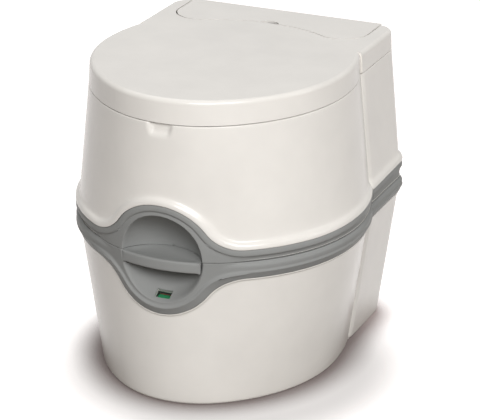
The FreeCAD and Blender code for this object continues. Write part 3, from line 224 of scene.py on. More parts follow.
class Outline:
    """Plan of the housing at one height: a round front that steps out to a square block."""

    def __init__(self, sizes, shape, grow):
        half, front, block, rear = shape
        self.half = half + grow
        self.front = front - grow
        self.block = block + grow
        self.rear = rear + grow
        self.corner = sizes.corner + grow
        self.block_y = sizes.block_y - grow
        self.middle = sizes.middle_y
        reach = self.middle - self.front
        self.nose = sizes.nose_share * self.half**2 / reach
        self.nose_y = self.front + self.nose
        offset = self.middle - self.nose_y
        self.flank = (self.half**2 + offset**2 - self.nose**2) / (2 * (self.half - self.nose))
        self.flank_x = self.half - self.flank
        self.meet_x = self.nose * -self.flank_x / math.hypot(self.flank_x, offset)
        drop = self.half - (self.block - sizes.step)
        run = sizes.block_y - self.middle
        self.rear_radius = (drop**2 + run**2) / (2 * drop)

    def front_y(self, x):
        """Y of the round front at this distance from the middle plane."""
        if abs(x) <= self.meet_x:
            return self.nose_y - math.sqrt(self.nose**2 - x**2)
        across = abs(x) - self.flank_x
        return self.middle - math.sqrt(max(self.flank**2 - across**2, 0))

    def oval_x(self, y):
        """Half width of the oval at this distance back."""
        if y < self.front:
            return -1.0
        if y > self.middle:
            centre = self.half - self.rear_radius
            return centre + math.sqrt(max(self.rear_radius**2 - (y - self.middle)**2, 0))
        nose = math.sqrt(max(self.nose**2 - (y - self.nose_y)**2, 0))
        flank = self.flank_x + math.sqrt(max(self.flank**2 - (y - self.middle)**2, 0))
        return nose if nose < self.meet_x else flank

    def holds(self, x, y):
        """Whether a point lies inside the outline."""
        if y <= self.block_y:
            return abs(x) < self.oval_x(y)
        inner_x = self.block - self.corner
        inner_y = self.rear - self.corner
        if abs(x) > inner_x and y > inner_y:
            return math.hypot(abs(x) - inner_x, y - inner_y) < self.corner
        return abs(x) < self.block and y < self.rear

    def along(self, stretch, share):
        """Point of the right half behind the front's reach, along one of its stretches."""
        if stretch == "flank":
            turn = -math.acos((FRONT_REACH - self.flank_x) / self.flank) * (1 - share)
            return self.flank_x + self.flank * math.cos(turn), self.middle + self.flank * math.sin(turn)
        if stretch == "rear":
            y = self.middle + (self.block_y - STEP_START - self.middle) * share
            return self.oval_x(y), y
        if stretch == "step":
            return self.step_point(share)
        if stretch == "block":
            start = self.block_y + STEP_END
            return self.block, start + (self.rear - self.corner - start) * share
        if stretch == "corner":
            turn = share * math.pi / 2
            return (self.block - self.corner * (1 - math.cos(turn)),
                    self.rear - self.corner * (1 - math.sin(turn)))
        return (self.block - self.corner) * (1 - share), self.rear

    def step_point(self, share):
        """Soft step: a shallow groove, then a slope that runs out on the block."""
        start = self.block_y - STEP_START
        y = start + (STEP_START + STEP_END) * share
        low = self.oval_x(min(y, self.block_y))
        groove = math.sin(math.pi * limited(share / GROOVE_SHARE))**2
        return low + (self.block - low) * eased(share) - STEP_GROOVE * groove, y


class Housing:
    """Tapered walls of the tank and the casing."""

    def __init__(self):
        self.sizes = settings("housing")

    def tank(self, z, grow=0.0):
        """Outline of the waste tank at a height."""
        s = self.sizes
        return Outline(s, mixed(s.base_plan, s.belt_plan, z / s.tank_rim_z), grow)

    def casing(self, z, grow=0.0):
        """Outline of the flush casing at a height."""
        s = self.sizes
        share = (z - s.casing_foot_z) / (s.seam_z - s.casing_foot_z)
        return Outline(s, mixed(s.belt_plan, s.seam_plan, share), grow)


class Wave:
    """One wavy edge of the belt, with lines that run beside it at an inset towards the belt."""

    def __init__(self, upper):
        belt = settings("belt")
        self.sign = 1 if upper else -1
        self.crest = belt.upper_crest if upper else belt.lower_crest
        side_z = belt.upper_z if upper else belt.lower_z
        self.rear_rise = belt.upper_rise if upper else belt.lower_rise
        self.fillet = belt.crest_fillet
        self.middle_z = belt.recess_z
        self.lift = self.sign * (side_z - self.middle_z)
        self.rise = self.lift + self.fillet
        self.reach = math.sqrt((self.crest + self.fillet)**2 - self.rise**2)
        self.tip = math.atan2(self.rise, self.reach)

    def point(self, share, inset):
        """(x, z) at a share of the way from the middle, 0, to the start of the straight sides, 1."""
        turn = math.pi / 2 - self.tip
        split = self.crest / (self.crest + self.fillet)
        if share <= split:
            angle = math.pi / 2 - turn * share / split
            radius = self.crest - inset
            return radius * math.cos(angle), self.middle_z + self.sign * radius * math.sin(angle)
        angle = self.tip + turn * (share - split) / (1 - split)
        radius = self.fillet + inset
        x = self.reach - radius * math.cos(angle)
        return x, self.middle_z + self.sign * (self.rise - radius * math.sin(angle))

    def side_z(self, inset):
        """Height of the straight sides at an inset."""
        return self.middle_z + self.sign * (self.lift - inset)

    def inset(self, x, z):
        """How far a point lies from the edge, inwards."""
        x = abs(x)
        rise = self.sign * (z - self.middle_z)
        if x >= self.reach:
            return self.lift - rise
        if math.atan2(rise, x) > self.tip:
            return self.crest - math.hypot(x, rise)
        return math.hypot(self.reach - x, self.rise - rise) - self.fillet


# Points closer than this are joined
WELD = 0.02 * MM


class Sheet:
    """Quads of a piece that is the same on both sides of the middle plane."""

    def __init__(self):
        self.mesh = bmesh.new()

    def grid(self, rows, flip=False):
        """Adds the quads between rows of points, and their mirror image."""
        for side in (1, -1):
            made = [[self.mesh.verts.new((side * p[0], p[1], p[2])) for p in row] for row in rows]
            for low, high in zip(made, made[1:]):
                for k in range(len(low) - 1):
                    quad = [low[k], low[k + 1], high[k + 1], high[k]]
                    if (side < 0) != flip:
                        quad.reverse()
                    self.mesh.faces.new(quad)

    def weld(self):
        """Joins points that meet and drops faces without area."""
        bmesh.ops.remove_doubles(self.mesh, verts=self.mesh.verts, dist=WELD)
        bmesh.ops.dissolve_degenerate(self.mesh, edges=self.mesh.edges, dist=WELD / 2)

    def finished(self, name, crease=40):
        """Object of the sheet with smooth faces and creases past an angle in degrees."""
        mesh = bpy.data.meshes.new(name)
        self.mesh.to_mesh(mesh)
        self.mesh.free()
        for face in mesh.polygons:
            face.use_smooth = True
        mesh.set_sharp_from_angle(angle=math.radians(crease))
        return linked(name, mesh)


def linked(name, data):
    """New object in the scene."""
    made = bpy.data.objects.new(name, data)
    bpy.context.scene.collection.objects.link(made)
    return made


def dress(piece, body, slot, node):
    """Fits a piece to its body and finish, in place of one of the frame's nodes."""
    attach(piece, body)
    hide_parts(node)
    piece.data.materials.clear()
    piece.data.materials.append(bpy.data.materials[slot])
    return piece


def interpolated(profile, at):
    """Value of a profile of (place, value) points, straight between them."""
    if at <= profile[0][0]:
        return profile[0][1]
    for (a, p), (b, q) in zip(profile, profile[1:]):
        if at <= b:
            return p + (q - p) * (at - a) / (b - a)
    return profile[-1][1]


# Stretches of the outline behind the wave, with their numbers of columns
SIDE_STRETCHES = (("flank", 24), ("rear", 14), ("step", 12), ("block", 8), ("corner", 8), ("back", 10))
# Columns across the wave and on the straight bit beside it, which ends at the front's reach in metres
WAVE_COLUMNS = 56
STRAIGHT_COLUMNS = 3
FRONT_REACH = 0.124
# Where the belt's edges start and stop rising towards the back, along Y in metres
RISE_START = -0.10
RISE_END = 0.20


def front_columns(wave, inset):
    """(x, z) of the columns across the wave, from the middle plane to the straight sides."""
    points = [wave.point(k / WAVE_COLUMNS, inset) for k in range(WAVE_COLUMNS + 1)]
    for k in range(STRAIGHT_COLUMNS):
        x = wave.reach + (FRONT_REACH - wave.reach) * (k + 1) / STRAIGHT_COLUMNS
        points.append((x, wave.side_z(inset)))
    return points


def wall_row(tier, wave, inset, grow, rear_grow=None, level=0.0, share=1.0):
    """Row of a wall from the middle of the front to the back, at a share of the way from a level height
    to the line at an inset from a wavy edge."""
    row = []
    for x, edge_z in front_columns(wave, inset):
        z = level + (edge_z - level) * share
        row.append((x, tier(z, grow).front_y(x), z))
    side_z = level + (wave.side_z(inset) - level) * share
    return row + side_row(tier, side_z, grow, rear_grow, wave.rear_rise * share)


def side_row(tier, z, grow, rear_grow, rise):
    """Row of a wall behind the front's reach. With a rear growth it fades to that in the corner and ends."""
    row = []
    for stretch, count in SIDE_STRETCHES:
        if rear_grow is not None and stretch == "back":
            break
        for k in range(1, count + 1):
            share = k / count
            grown = grow
            if rear_grow is not None and stretch == "corner":
                grown += (rear_grow - grow) * share
            y = tier(z, grown).along(stretch, share)[1]
            height = z + rise * limited((y - RISE_START) / (RISE_END - RISE_START))
            row.append((*tier(height, grown).along(stretch, share), height))
    return row


# Least upright share of a level face's normal
LEVEL = 0.9


def inner_faces(node, tier, wall, highest, rear=False):
    """A node's mesh and its faces without the outer wall, or with the flat rear part of that wall alone."""
    source = frame["nodes"][node].data
    outside = []
    for vertex in source.vertices:
        x, y, z = vertex.co
        outside.append(not tier(z, -wall / 2).holds(x, y))
    kept = []
    for face in source.polygons:
        on_wall = all(outside[v] for v in face.vertices)
        level = abs(face.normal.z) > LEVEL and face.center.z > highest - MM
        under = face.center.z < MM / 2
        behind = rear and all(on_rear(tier, source.vertices[v].co) for v in face.vertices)
        if not on_wall or level or under or behind:
            kept.append(face)
    return source, kept


def on_rear(tier, point):
    """Whether a point lies on the flat rear wall, between the corners."""
    outline = tier(point.z)
    return point.y > outline.rear - MM / 5 and abs(point.x) < outline.block - outline.corner + MM / 5


def add_faces(sheet, source, faces):
    """Copies faces of the frame into a sheet."""
    made = {}
    for face in faces:
        corners = []
        for v in face.vertices:
            if v not in made:
                made[v] = sheet.mesh.verts.new(source.vertices[v].co)
            corners.append(made[v])
        sheet.mesh.faces.new(corners)


# Finishes: slot, colour, roughness and its spread, mottle, scale and depth of the grain, the latter in mm,
# and what else is set on the shader
FINISHES = (
    ("white_shell", "shell_white", 0.22, 0.03, 0.04, 700, 0.02, {}),
    ("grey_trim", "trim_grey", 0.42, 0.05, 0.06, 1500, 0.06, {"Specular IOR Level": 0.06}),
    ("inner_white", "inner_white", 0.45, 0.04, 0.05, 900, 0.04, {}),
    ("grey_fitting", "fitting_grey", 0.38, 0.05, 0.06, 1300, 0.05, {}),
    ("rubber_seal", "rubber_black", 0.62, 0.08, 0.15, 2200, 0.08, {}),
    ("green_flag", "flag_green", 0.35, 0.05, 0.08, 1300, 0.03, {}),
    ("red_flag", "flag_red", 0.35, 0.05, 0.08, 1300, 0.03, {}),
    ("soft_hose", "hose_clear", 0.30, 0.05, 0.06, 400, 0.05, {"Transmission Weight": 0.35}),
    ("steel", "steel", 0.28, 0.08, 0.08, 1800, 0.02, {"Metallic": 1.0}),
    ("clear_window", "window_tint", 0.06, 0.03, 0.02, 300, 0.01, {"Alpha": 0.12}),
)


class TOILET_OT_finishes(bpy.types.Operator):
    """Makes the finishes and gives each node of the frame its own"""

    bl_idname = "toilet.finishes"
    bl_label = "Finishes"

    def execute(self, context):
        colours = settings("colours")
        for slot, tone, *finish in FINISHES:
            moulded(slot, getattr(colours, tone), *finish)
        for row in frame["record"]["subparts"]:
            mesh = frame["nodes"][row["node"]].data
            mesh.materials.clear()
            mesh.materials.append(bpy.data.materials[row["material_slot"]])
        return {"FINISHED"}


def shader_node(tree, kind, **sockets):
    """New node of a material with values on its sockets, whose names are written with underscores."""
    made = tree.nodes.new("ShaderNode" + kind)
    set_sockets(made, sockets)
    return made


def set_sockets(node, sockets):
    """Sets values on a node's sockets."""
    for name, value in sockets.items():
        node.inputs[name.replace("_", " ")].default_value = value


def set_ramp(ramp, *stops):
    """Places and colours of a colour ramp's two stops."""
    for stop, (place, shade) in zip(ramp.color_ramp.elements, stops):
        stop.position = place
        stop.color = (*shade, 1)


# Noise of the finishes: clouds in their colour, with the range that they show, and the fine grain
CLOUD_SCALE = 14
CLOUD_DETAIL = 4
CLOUD_RANGE = (0.3, 0.7)
GRAIN_DETAIL = 2
GRAIN_STRENGTH = 0.5


def moulded(name, colour, roughness, spread, mottle, grain, depth, sockets):
    """Finish with a faint mottle in its colour, uneven gloss and a fine grain."""
    plain = bpy.data.materials.get(name)
    if plain:
        plain.name = "frame_" + name
    material = bpy.data.materials.new(name)
    material.use_nodes = True
    tree = material.node_tree
    link = tree.links.new
    shader = tree.nodes["Principled BSDF"]
    set_sockets(shader, sockets)
    coords = shader_node(tree, "TexCoord")
    cloud = shader_node(tree, "TexNoise", Scale=CLOUD_SCALE, Detail=CLOUD_DETAIL)
    link(coords.outputs["Object"], cloud.inputs["Vector"])
    tint = shader_node(tree, "ValToRGB")
    darker = [v * (1 - mottle) for v in colour]
    lighter = [min(v * (1 + mottle / 2), 1) for v in colour]
    set_ramp(tint, (CLOUD_RANGE[0], darker), (CLOUD_RANGE[1], lighter))
    link(cloud.outputs["Fac"], tint.inputs["Fac"])
    link(tint.outputs["Color"], shader.inputs["Base Color"])
    gloss = shader_node(tree, "MapRange", To_Min=roughness - spread, To_Max=roughness + spread)
    link(cloud.outputs["Fac"], gloss.inputs["Value"])
    link(gloss.outputs["Result"], shader.inputs["Roughness"])
    fine = shader_node(tree, "TexNoise", Scale=grain, Detail=GRAIN_DETAIL)
    link(coords.outputs["Object"], fine.inputs["Vector"])
    bump = shader_node(tree, "Bump", Strength=GRAIN_STRENGTH, Distance=depth * MM)
    link(fine.outputs["Fac"], bump.inputs["Height"])
    link(bump.outputs["Normal"], shader.inputs["Normal"])


# Rounded foot of the tank: height and growth of the outline, as shares of its chamfer
TANK_FOOT = ((0, -1), (0.15, -0.62), (0.5, -0.27), (1, -0.07), (1.6, 0))
# Bead under the belt: inset from the belt's edge and growth of the outline, in mm
TANK_BEAD = ((-6, 0), (-4.2, 0.06), (-3, 0.35), (-2.2, 1.0), (-1.6, 1.55), (-0.9, 1.9), (-0.35, 1.8),
             (-0.05, 1.3), (0.1, 0.4), (2.5, 0.1))
TANK_ROWS = 24


class TOILET_OT_tank(bpy.types.Operator):
    """Waste tank with smooth tapered walls and a thin bead under the belt"""

    bl_idname = "toilet.tank"
    bl_label = "Waste tank"

    def execute(self, context):
        housing = Housing()
        wave = Wave(upper=False)
        sizes = housing.sizes
        sheet = Sheet()
        chamfer = sizes.foot_chamfer
        foot_top = TANK_FOOT[-1][0] * chamfer
        bead_start = TANK_BEAD[0][0] * MM
        rows = []
        for rise, share in TANK_FOOT:
            z = rise * chamfer
            rear_grow = min(z - chamfer, 0)
            rows.append(wall_row(housing.tank, wave, bead_start, share * chamfer, rear_grow, z, share=0))
        for k in range(1, TANK_ROWS):
            rows.append(wall_row(housing.tank, wave, bead_start, 0, 0, foot_top, share=k / TANK_ROWS))
        for inset, grow in TANK_BEAD:
            rows.append(wall_row(housing.tank, wave, inset * MM, grow * MM, 0))
        sheet.grid(rows)
        source, kept = inner_faces("waste_tank", housing.tank, sizes.wall, sizes.tank_rim_z, rear=True)
        add_faces(sheet, source, kept)
        sheet.weld()
        dress(sheet.finished("tank_body"), "waste_section", "white_shell", "waste_tank")
        return {"FINISHED"}


# Flared lip over the belt: inset from the belt's edge in mm, and share of the flare
CASING_LIP = ((-0.1, 0.26), (-0.1, 0.84), (-0.3, 0.93), (-0.8, 0.985), (-1.8, 1.0), (-3.2, 0.985),
              (-4.8, 0.93), (-6.2, 0.83), (-7.4, 0.69), (-8.4, 0.53), (-9.3, 0.37), (-10.2, 0.235),
              (-11.3, 0.125), (-12.8, 0.05), (-15, 0.01), (-18, 0))
CASING_ROWS = 30
ROUNDING_ROWS = 5
# Most steps, and steps in one rounding, that draw the flat top's edge in
DECK_STEPS = 40
DECK_STRIDES = 20


class TOILET_OT_casing(bpy.types.Operator):
    """Flush casing with a flared lip over the belt and a thumb notch under the lid"""

    bl_idname = "toilet.casing"
    bl_label = "Flush casing"

    def execute(self, context):
        housing = Housing()
        wave = Wave(upper=True)
        sizes = housing.sizes
        sheet = Sheet()
        rows = []
        for inset, share in CASING_LIP:
            rows.append(wall_row(housing.casing, wave, inset * MM, share * sizes.flare))
        lip_end = CASING_LIP[-1][0] * MM
        rounding = sizes.seam_rounding
        top = sizes.seam_z - rounding
        for k in range(1, CASING_ROWS + 1):
            rows.append(wall_row(housing.casing, wave, lip_end, 0, level=top, share=1 - k / CASING_ROWS))
        for k in range(1, ROUNDING_ROWS + 1):
            turn = k / ROUNDING_ROWS * math.pi / 2
            z = top + rounding * math.sin(turn)
            grow = rounding * (math.cos(turn) - 1)
            rows.append(wall_row(housing.casing, wave, lip_end, grow, level=z, share=0))
        rows = [[self.notched(sizes, p) for p in row] for row in rows]
        sheet.grid(rows)
        source, kept = inner_faces("upper_casing", housing.casing, sizes.wall, sizes.seam_z)
        add_faces(sheet, source, [f for f in kept if not self.in_notch(sizes, f.center)])
        self.draw_in_deck(sheet, housing, rounding)
        sheet.weld()
        dress(sheet.finished("casing_body"), "flush_section", "white_shell", "upper_casing")
        return {"FINISHED"}

    def notched(self, sizes, point):
        """Presses the thumb notch into the wall."""
        x, y, z = point
        drop = (sizes.seam_z - z) / sizes.thumb_height
        half = sizes.thumb_width / 2 - sizes.thumb_height / 4 * limited(drop)
        across = eased((half - abs(x)) / sizes.thumb_side)
        down = eased((1 - drop) * sizes.thumb_height / sizes.thumb_foot)
        if y > 0:
            return point
        return x, y + sizes.thumb_depth * across * down, z

    def in_notch(self, sizes, centre):
        """Whether a face of the frame lies in the thumb notch."""
        front = sizes.seam_plan[1]
        return (abs(centre.x) < sizes.thumb_width / 2 + MM and centre.y < front + 2 * sizes.thumb_depth
                and sizes.seam_z - sizes.thumb_height - MM < centre.z < sizes.seam_z - MM / 10)

    def draw_in_deck(self, sheet, housing, rounding):
        """Draws the edge of the flat top in to where the rounded wall meets it."""
        z = housing.sizes.seam_z
        edge = housing.casing(z, -rounding / 4)
        inner = housing.casing(z, -rounding)
        for vertex in sheet.mesh.verts:
            x, y = vertex.co.x, vertex.co.y
            if abs(vertex.co.z - z) < MM / 100 and not edge.holds(x, y):
                stride = Vector((-x, -y, 0)).normalized() * rounding / DECK_STRIDES
                for step in range(DECK_STEPS):
                    if inner.holds(vertex.co.x, vertex.co.y):
                        break
                    vertex.co += stride


# Sections of the bands: inset from the wavy edge and growth of the outline, in mm. The lip runs all round,
# and the field beside it has one form at the front and one at the sides.
UPPER_LIP = ((0.3, 1.3), (0.3, 2.8), (0.5, 3.4), (1.0, 3.9), (1.8, 4.2), (4.5, 4.5), (7.0, 4.5), (8.2, 4.3),
             (9.1, 3.8), (9.6, 3.2), (10.0, 2.7))
UPPER_FRONT = ((10.0, 2.7), (10.5, 2.3), (11.2, 2.1), (12.5, 2.2), (16.0, 2.5))
UPPER_SIDE = ((10.0, 2.7), (10.6, 1.9), (11.6, 1.1), (13.0, 0.3), (15.0, -0.6), (17.8, -1.2))
LOWER_LIP = ((0.3, 0.6), (0.3, 1.6), (0.8, 2.2), (1.6, 2.6), (8.0, 4.4), (9.0, 5.0), (10.0, 5.5))
LOWER_FRONT = ((10.0, 5.5), (10.8, 5.6), (11.6, 5.3), (12.6, 4.6), (13.6, 3.7), (14.6, 3.0), (16.0, 2.6),
               (19.0, 2.6))
LOWER_SIDE = ((10.0, 5.5), (10.8, 5.5), (11.8, 5.0), (13.0, 4.3), (14.2, 4.0), (17.0, 4.1), (19.5, 3.8),
              (21.5, 2.8), (23.0, 1.4), (24.2, -0.2), (25.2, -1.2))
LIP_END = 10.0 * MM
# Where the field turns from its front form to its side form, along X in metres
FIELD_TURN = (0.075, 0.125)
# Rows of the side field, of the front field and of the hollow, and how the last two crowd towards the rim
FIELD_ROWS = 18
PATCH_ROWS = 18
PATCH_CROWDING = 1.6
HOLLOW_ROWS = 26
HOLLOW_CROWDING = 1.5
# Angle past which the grey pieces show a crease, in degrees
TRIM_CREASE = 50


def smooth_most(a, b, width):
    """The larger of two values, rounded where they cross."""
    share = max(width - abs(a - b), 0) / width
    return max(a, b) + share * share * width / 4


class Band:
    """One grey band: a lip beside its wavy edge, a field and half of the hand recess."""

    def __init__(self, upper):
        self.belt = settings("belt")
        self.housing = Housing()
        self.upper = upper
        self.wave = Wave(upper)
        self.tier = self.housing.casing if upper else self.housing.tank
        self.profile = UPPER_LIP if upper else LOWER_LIP
        self.fields = (UPPER_FRONT, UPPER_SIDE) if upper else (LOWER_FRONT, LOWER_SIDE)
        self.rim = self.belt.upper_rim if upper else self.belt.lower_rim
        half_gap = self.belt.parting_gap / 2
        self.edge_z = self.belt.parting_z + (half_gap if upper else -half_gap)
        radius, depth = self.belt.recess_radius, self.belt.recess_depth
        self.ball = (radius**2 + depth**2) / (2 * depth)
        front = self.housing.sizes.belt_plan[1] - self.belt.field_proud
        self.ball_y = front + depth - self.ball

    def proud(self, x, z):
        """How far the field stands out, between its form at the front and at the sides."""
        inset = self.wave.inset(x, z) / MM
        share = eased((abs(x) - FIELD_TURN[0]) / (FIELD_TURN[1] - FIELD_TURN[0]))
        front, side = [interpolated(field, inset) for field in self.fields]
        return (front + (side - front) * share) * MM

    def field_point(self, x, z):
        """Point of the field or the recess in front view."""
        y = self.tier(z, self.proud(x, z)).front_y(x)
        across = self.ball**2 - x**2 - (z - self.belt.recess_z)**2
        if across > 0:
            y = smooth_most(y, self.ball_y + math.sqrt(across), self.rim)
        return x, y, z

    def lip(self):
        """Rows of the lip, from its hidden edge to the field."""
        return [wall_row(self.tier, self.wave, inset * MM, grow * MM) for inset, grow in self.profile]

    def side_field(self):
        """Field behind the wave, from the lip to the parting edge."""
        start = self.wave.side_z(LIP_END)
        rows = []
        for k in range(FIELD_ROWS + 1):
            z = start + (self.edge_z - start) * k / FIELD_ROWS
            proud = self.proud(FIELD_TURN[1], z)
            rise = self.wave.rear_rise * (1 - k / FIELD_ROWS)
            first = self.tier(z, proud).along("flank", 0)
            rows.append([(*first, z)] + side_row(self.tier, z, proud, None, rise))
        return rows

    def rim_point(self, share):
        """(x, z) on the rim of the recess, from the parting edge, 0, to the middle plane, 1."""
        radius = self.belt.recess_radius
        start = math.asin((self.edge_z - self.belt.recess_z) / radius)
        end = math.pi / 2 if self.upper else -math.pi / 2
        turn = start + (end - start) * share
        return radius * math.cos(turn), self.belt.recess_z + radius * math.sin(turn)

    def border(self):
        """Outer border of the front field: up the side at the wave's end, then along the lip."""
        start = self.wave.side_z(LIP_END)
        points = []
        for k in range(FIELD_ROWS):
            points.append((FRONT_REACH, self.edge_z + (start - self.edge_z) * k / FIELD_ROWS))
        return points + front_columns(self.wave, LIP_END)[::-1]

    def front_rows(self, targets, count, crowding):
        """Rows of the front that run from the recess's rim to a line of points."""
        rows = []
        for j in range(count + 1):
            share = (j / count)**crowding
            row = []
            for k, target in enumerate(targets):
                rim = self.rim_point(k / (len(targets) - 1))
                row.append(self.field_point(*mixed(rim, target, share)))
            rows.append(row)
        return rows

    def build(self, name):
        """Sheet of the whole band, without its wall."""
        sheet = Sheet()
        border = self.border()
        middle = [(0, self.edge_z)] * len(border)
        sheet.grid(self.lip(), flip=self.upper)
        sheet.grid(self.side_field(), flip=self.upper)
        sheet.grid(self.front_rows(border, PATCH_ROWS, PATCH_CROWDING), flip=not self.upper)
        sheet.grid(self.front_rows(middle, HOLLOW_ROWS, HOLLOW_CROWDING), flip=self.upper)
        sheet.weld()
        bmesh.ops.recalc_face_normals(sheet.mesh, faces=sheet.mesh.faces)
        return sheet.finished(name, TRIM_CREASE)


def thickened(piece, thickness):
    """Gives a sheet its wall, inwards."""
    modifier = piece.modifiers.new("wall", "SOLIDIFY")
    modifier.thickness = thickness
    modifier.offset = -1
    return applied(piece)


def cut(piece, low, high, turn=0.0, middle=(0, 0, 0)):
    """Cuts a box out of a piece, turned about X at its middle."""
    tool = bmesh.new()
    bmesh.ops.create_cube(tool, size=1)
    for vertex in tool.verts:
        share = vertex.co + Vector((0.5, 0.5, 0.5))
        vertex.co = [a + (b - a) * t for a, b, t in zip(low, high, share)]
    mesh = bpy.data.meshes.new("cutter")
    tool.to_mesh(mesh)
    tool.free()
    cutter = linked("cutter", mesh)
    cutter.rotation_euler.x = turn
    cutter.location = middle
    modifier = piece.modifiers.new("cut", "BOOLEAN")
    modifier.object = cutter
    modifier.solver = "EXACT"
    applied(piece)
    bpy.data.objects.remove(cutter)
    bpy.data.meshes.remove(mesh)


def applied(piece):
    """Applies a piece's modifiers."""
    bpy.context.view_layer.update()
    graph = bpy.context.evaluated_depsgraph_get()
    mesh = bpy.data.meshes.new_from_object(piece.evaluated_get(graph))
    piece.modifiers.clear()
    piece.data = mesh
    return piece


# Boxes cut out of the lower band, in metres: the latch's slot, and how far in front the blade's slot starts,
# its room above and below the blade, and half the depth of the window's opening
LATCH_SLOT = ((-0.013, 0.2, 0.205), (0.024, 0.24, 0.213))
BLADE_SLOT_FRONT = -0.24
BLADE_ROOM = 0.6 * MM
WINDOW_HALF_DEPTH = 6 * MM


class TOILET_OT_belt(bpy.types.Operator):
    """Grey belt: two bands that swell round the hand recess"""

    bl_idname = "toilet.belt"
    bl_label = "Belt"

    def execute(self, context):
        belt = settings("belt")
        upper = Band(upper=True).build("belt_upper")
        dress(thickened(upper, belt.shell), "flush_section", "grey_trim", "upper_band")
        lower = thickened(Band(upper=False).build("belt_lower"), belt.shell)
        blade_low, blade_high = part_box("valve_blade")
        neck = belt.blade_slot
        cut(lower, (-neck, BLADE_SLOT_FRONT, blade_low.z - BLADE_ROOM), (neck, 0, blade_high.z + BLADE_ROOM))
        self.cut_window(belt, lower)
        cut(lower, *LATCH_SLOT)
        dress(lower, "waste_section", "grey_trim", "lower_band")
        return {"FINISHED"}

    def cut_window(self, belt, lower):
        """Cuts the opening of the gauge window, square to the hollow."""
        band = Band(upper=False)
        depth = math.sqrt(band.ball**2 - belt.window_drop**2)
        middle = (0, band.ball_y + depth, belt.recess_z - belt.window_drop)
        half = (belt.window_width / 2, WINDOW_HALF_DEPTH, belt.window_height / 2)
        cut(lower, [-v for v in half], half, math.atan2(belt.window_drop, -depth), middle)


# Sections along half the pull, and the points of a section: along its foot, round an edge, up its front and
# across its dished top
PULL_COLUMNS = 48
FOOT_POINTS = 8
EDGE_POINTS = 5
FRONT_POINTS = 5
DISH_POINTS = 24
# Depth at which the pull ends, and the share of its half length at which it is closed
LEAST_DEPTH = 0.4 * MM
END_SHARE = 0.9995


class TOILET_OT_handle(bpy.types.Operator):
    """Lens-shaped valve pull with rounded edges and a finger dish"""

    bl_idname = "toilet.handle"
    bl_label = "Valve pull"

    def execute(self, context):
        self.band = Band(upper=False)
        self.sizes = settings("handle")
        self.top = self.band.belt.parting_z - self.band.belt.parting_gap
        self.foot = self.top - self.sizes.height
        end = self.end_x()
        sheet = Sheet()
        rows = []
        for k in range(PULL_COLUMNS + 1):
            x = end * math.sin(k / PULL_COLUMNS * math.pi / 2)
            rows.append(self.section(min(x, end * END_SHARE)))
        sheet.grid(rows)
        for side in (1, -1):
            cap = [sheet.mesh.verts.new((side * x, y, z)) for x, y, z in rows[-1][:-1]]
            sheet.mesh.faces.new(cap if side > 0 else cap[::-1])
        sheet.weld()
        bmesh.ops.recalc_face_normals(sheet.mesh, faces=sheet.mesh.faces)
        dress(sheet.finished("valve_pull", TRIM_CREASE), "valve_gate", "grey_trim", "valve_handle")
        return {"FINISHED"}

    def front_y(self, x):
        """Y of the pull's front."""
        return self.band.tier(self.foot, self.sizes.proud).front_y(x)

    def back_y(self, x, z):
        """Y of the pull's back, which follows the hollow."""
        radius = self.band.ball - self.sizes.fit
        across = radius**2 - x**2 - (z - self.band.belt.recess_z)**2
        return self.band.ball_y + math.sqrt(max(across, 0))

    def end_x(self):
        """Half length of the pull, where its back meets its front."""
        x = 0.0
        while self.back_y(x, self.foot) - self.front_y(x) > LEAST_DEPTH:
            x += MM / 10
        return x

    def section(self, x):
        """Closed section across the pull: bottom, front with rounded edges, dished top, back."""
        front = self.front_y(x)
        back = self.back_y(x, self.foot)
        depth = back - front
        edge = min(self.sizes.edge, depth / 4)
        points = [(back - (depth - edge) * k / FOOT_POINTS, self.foot) for k in range(FOOT_POINTS + 1)]
        turns = [k / EDGE_POINTS * math.pi / 2 for k in range(EDGE_POINTS + 1)]
        for turn in turns[1:]:
            points.append((front + edge * (1 - math.sin(turn)), self.foot + edge * (1 - math.cos(turn))))
        for k in range(1, FRONT_POINTS):
            points.append((front, self.foot + edge + (self.sizes.height - 2 * edge) * k / FRONT_POINTS))
        for turn in turns:
            points.append((front + edge * (1 - math.cos(turn)), self.top - edge * (1 - math.sin(turn))))
        top_back = self.back_y(x, self.top)
        start = front + edge
        for k in range(1, DISH_POINTS + 1):
            y = start + (top_back - start) * k / DISH_POINTS
            points.append((y, self.top - self.dish(y, start, top_back)))
        return [(x, y, z) for y, z in points + points[:1]]

    def dish(self, y, start, end):
        """Depth of the finger dish at a distance back, none at its two rims."""
        middle = (start + end) / 2
        half = max((end - start) / 2 - self.sizes.dish_rim, MM / 100)
        deepest = min(self.sizes.dish, half**2 / (2 * self.sizes.dish_radius))
        share = min(abs(y - middle) / half, 1)
        return deepest * (1 - share**2)


class TOILET_OT_springs(bpy.types.Operator):
    """Springs of the pump and the vent, as coils copied from the frame"""

    bl_idname = "toilet.springs"
    bl_label = "Springs"

    def execute(self, context):
        self.spring("pump_spring", "pump_coil", "flush_section", "flush_plunger", Vector((0, 0, 1)))
        self.spring("vent_spring", "vent_coil", "waste_section", "vent_push", Vector((0, 1, 0)))
        return {"FINISHED"}

    def spring(self, node, name, body, joint, axis):
        """Coil in place of a node, copied from the node's mesh as it is; the joint and the axis are not
        used.
        """
        source = frame["nodes"][node].data
        sheet = Sheet()
        add_faces(sheet, source, source.polygons)
        piece = dress(sheet.finished(name), body, "steel", node)
        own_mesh(piece)


def seen_rays(tree):
    """Output that is one for rays from the camera, off gloss and through clear pieces."""
    path = shader_node(tree, "LightPath")
    total = path.outputs["Is Camera Ray"]
    for name in ("Is Glossy Ray", "Is Transmission Ray"):
        plus = shader_node(tree, "Math")
        plus.operation = "ADD"
        plus.use_clamp = True
        tree.links.new(total, plus.inputs[0])
        tree.links.new(path.outputs[name], plus.inputs[1])
        total = plus.outputs["Value"]
    return total


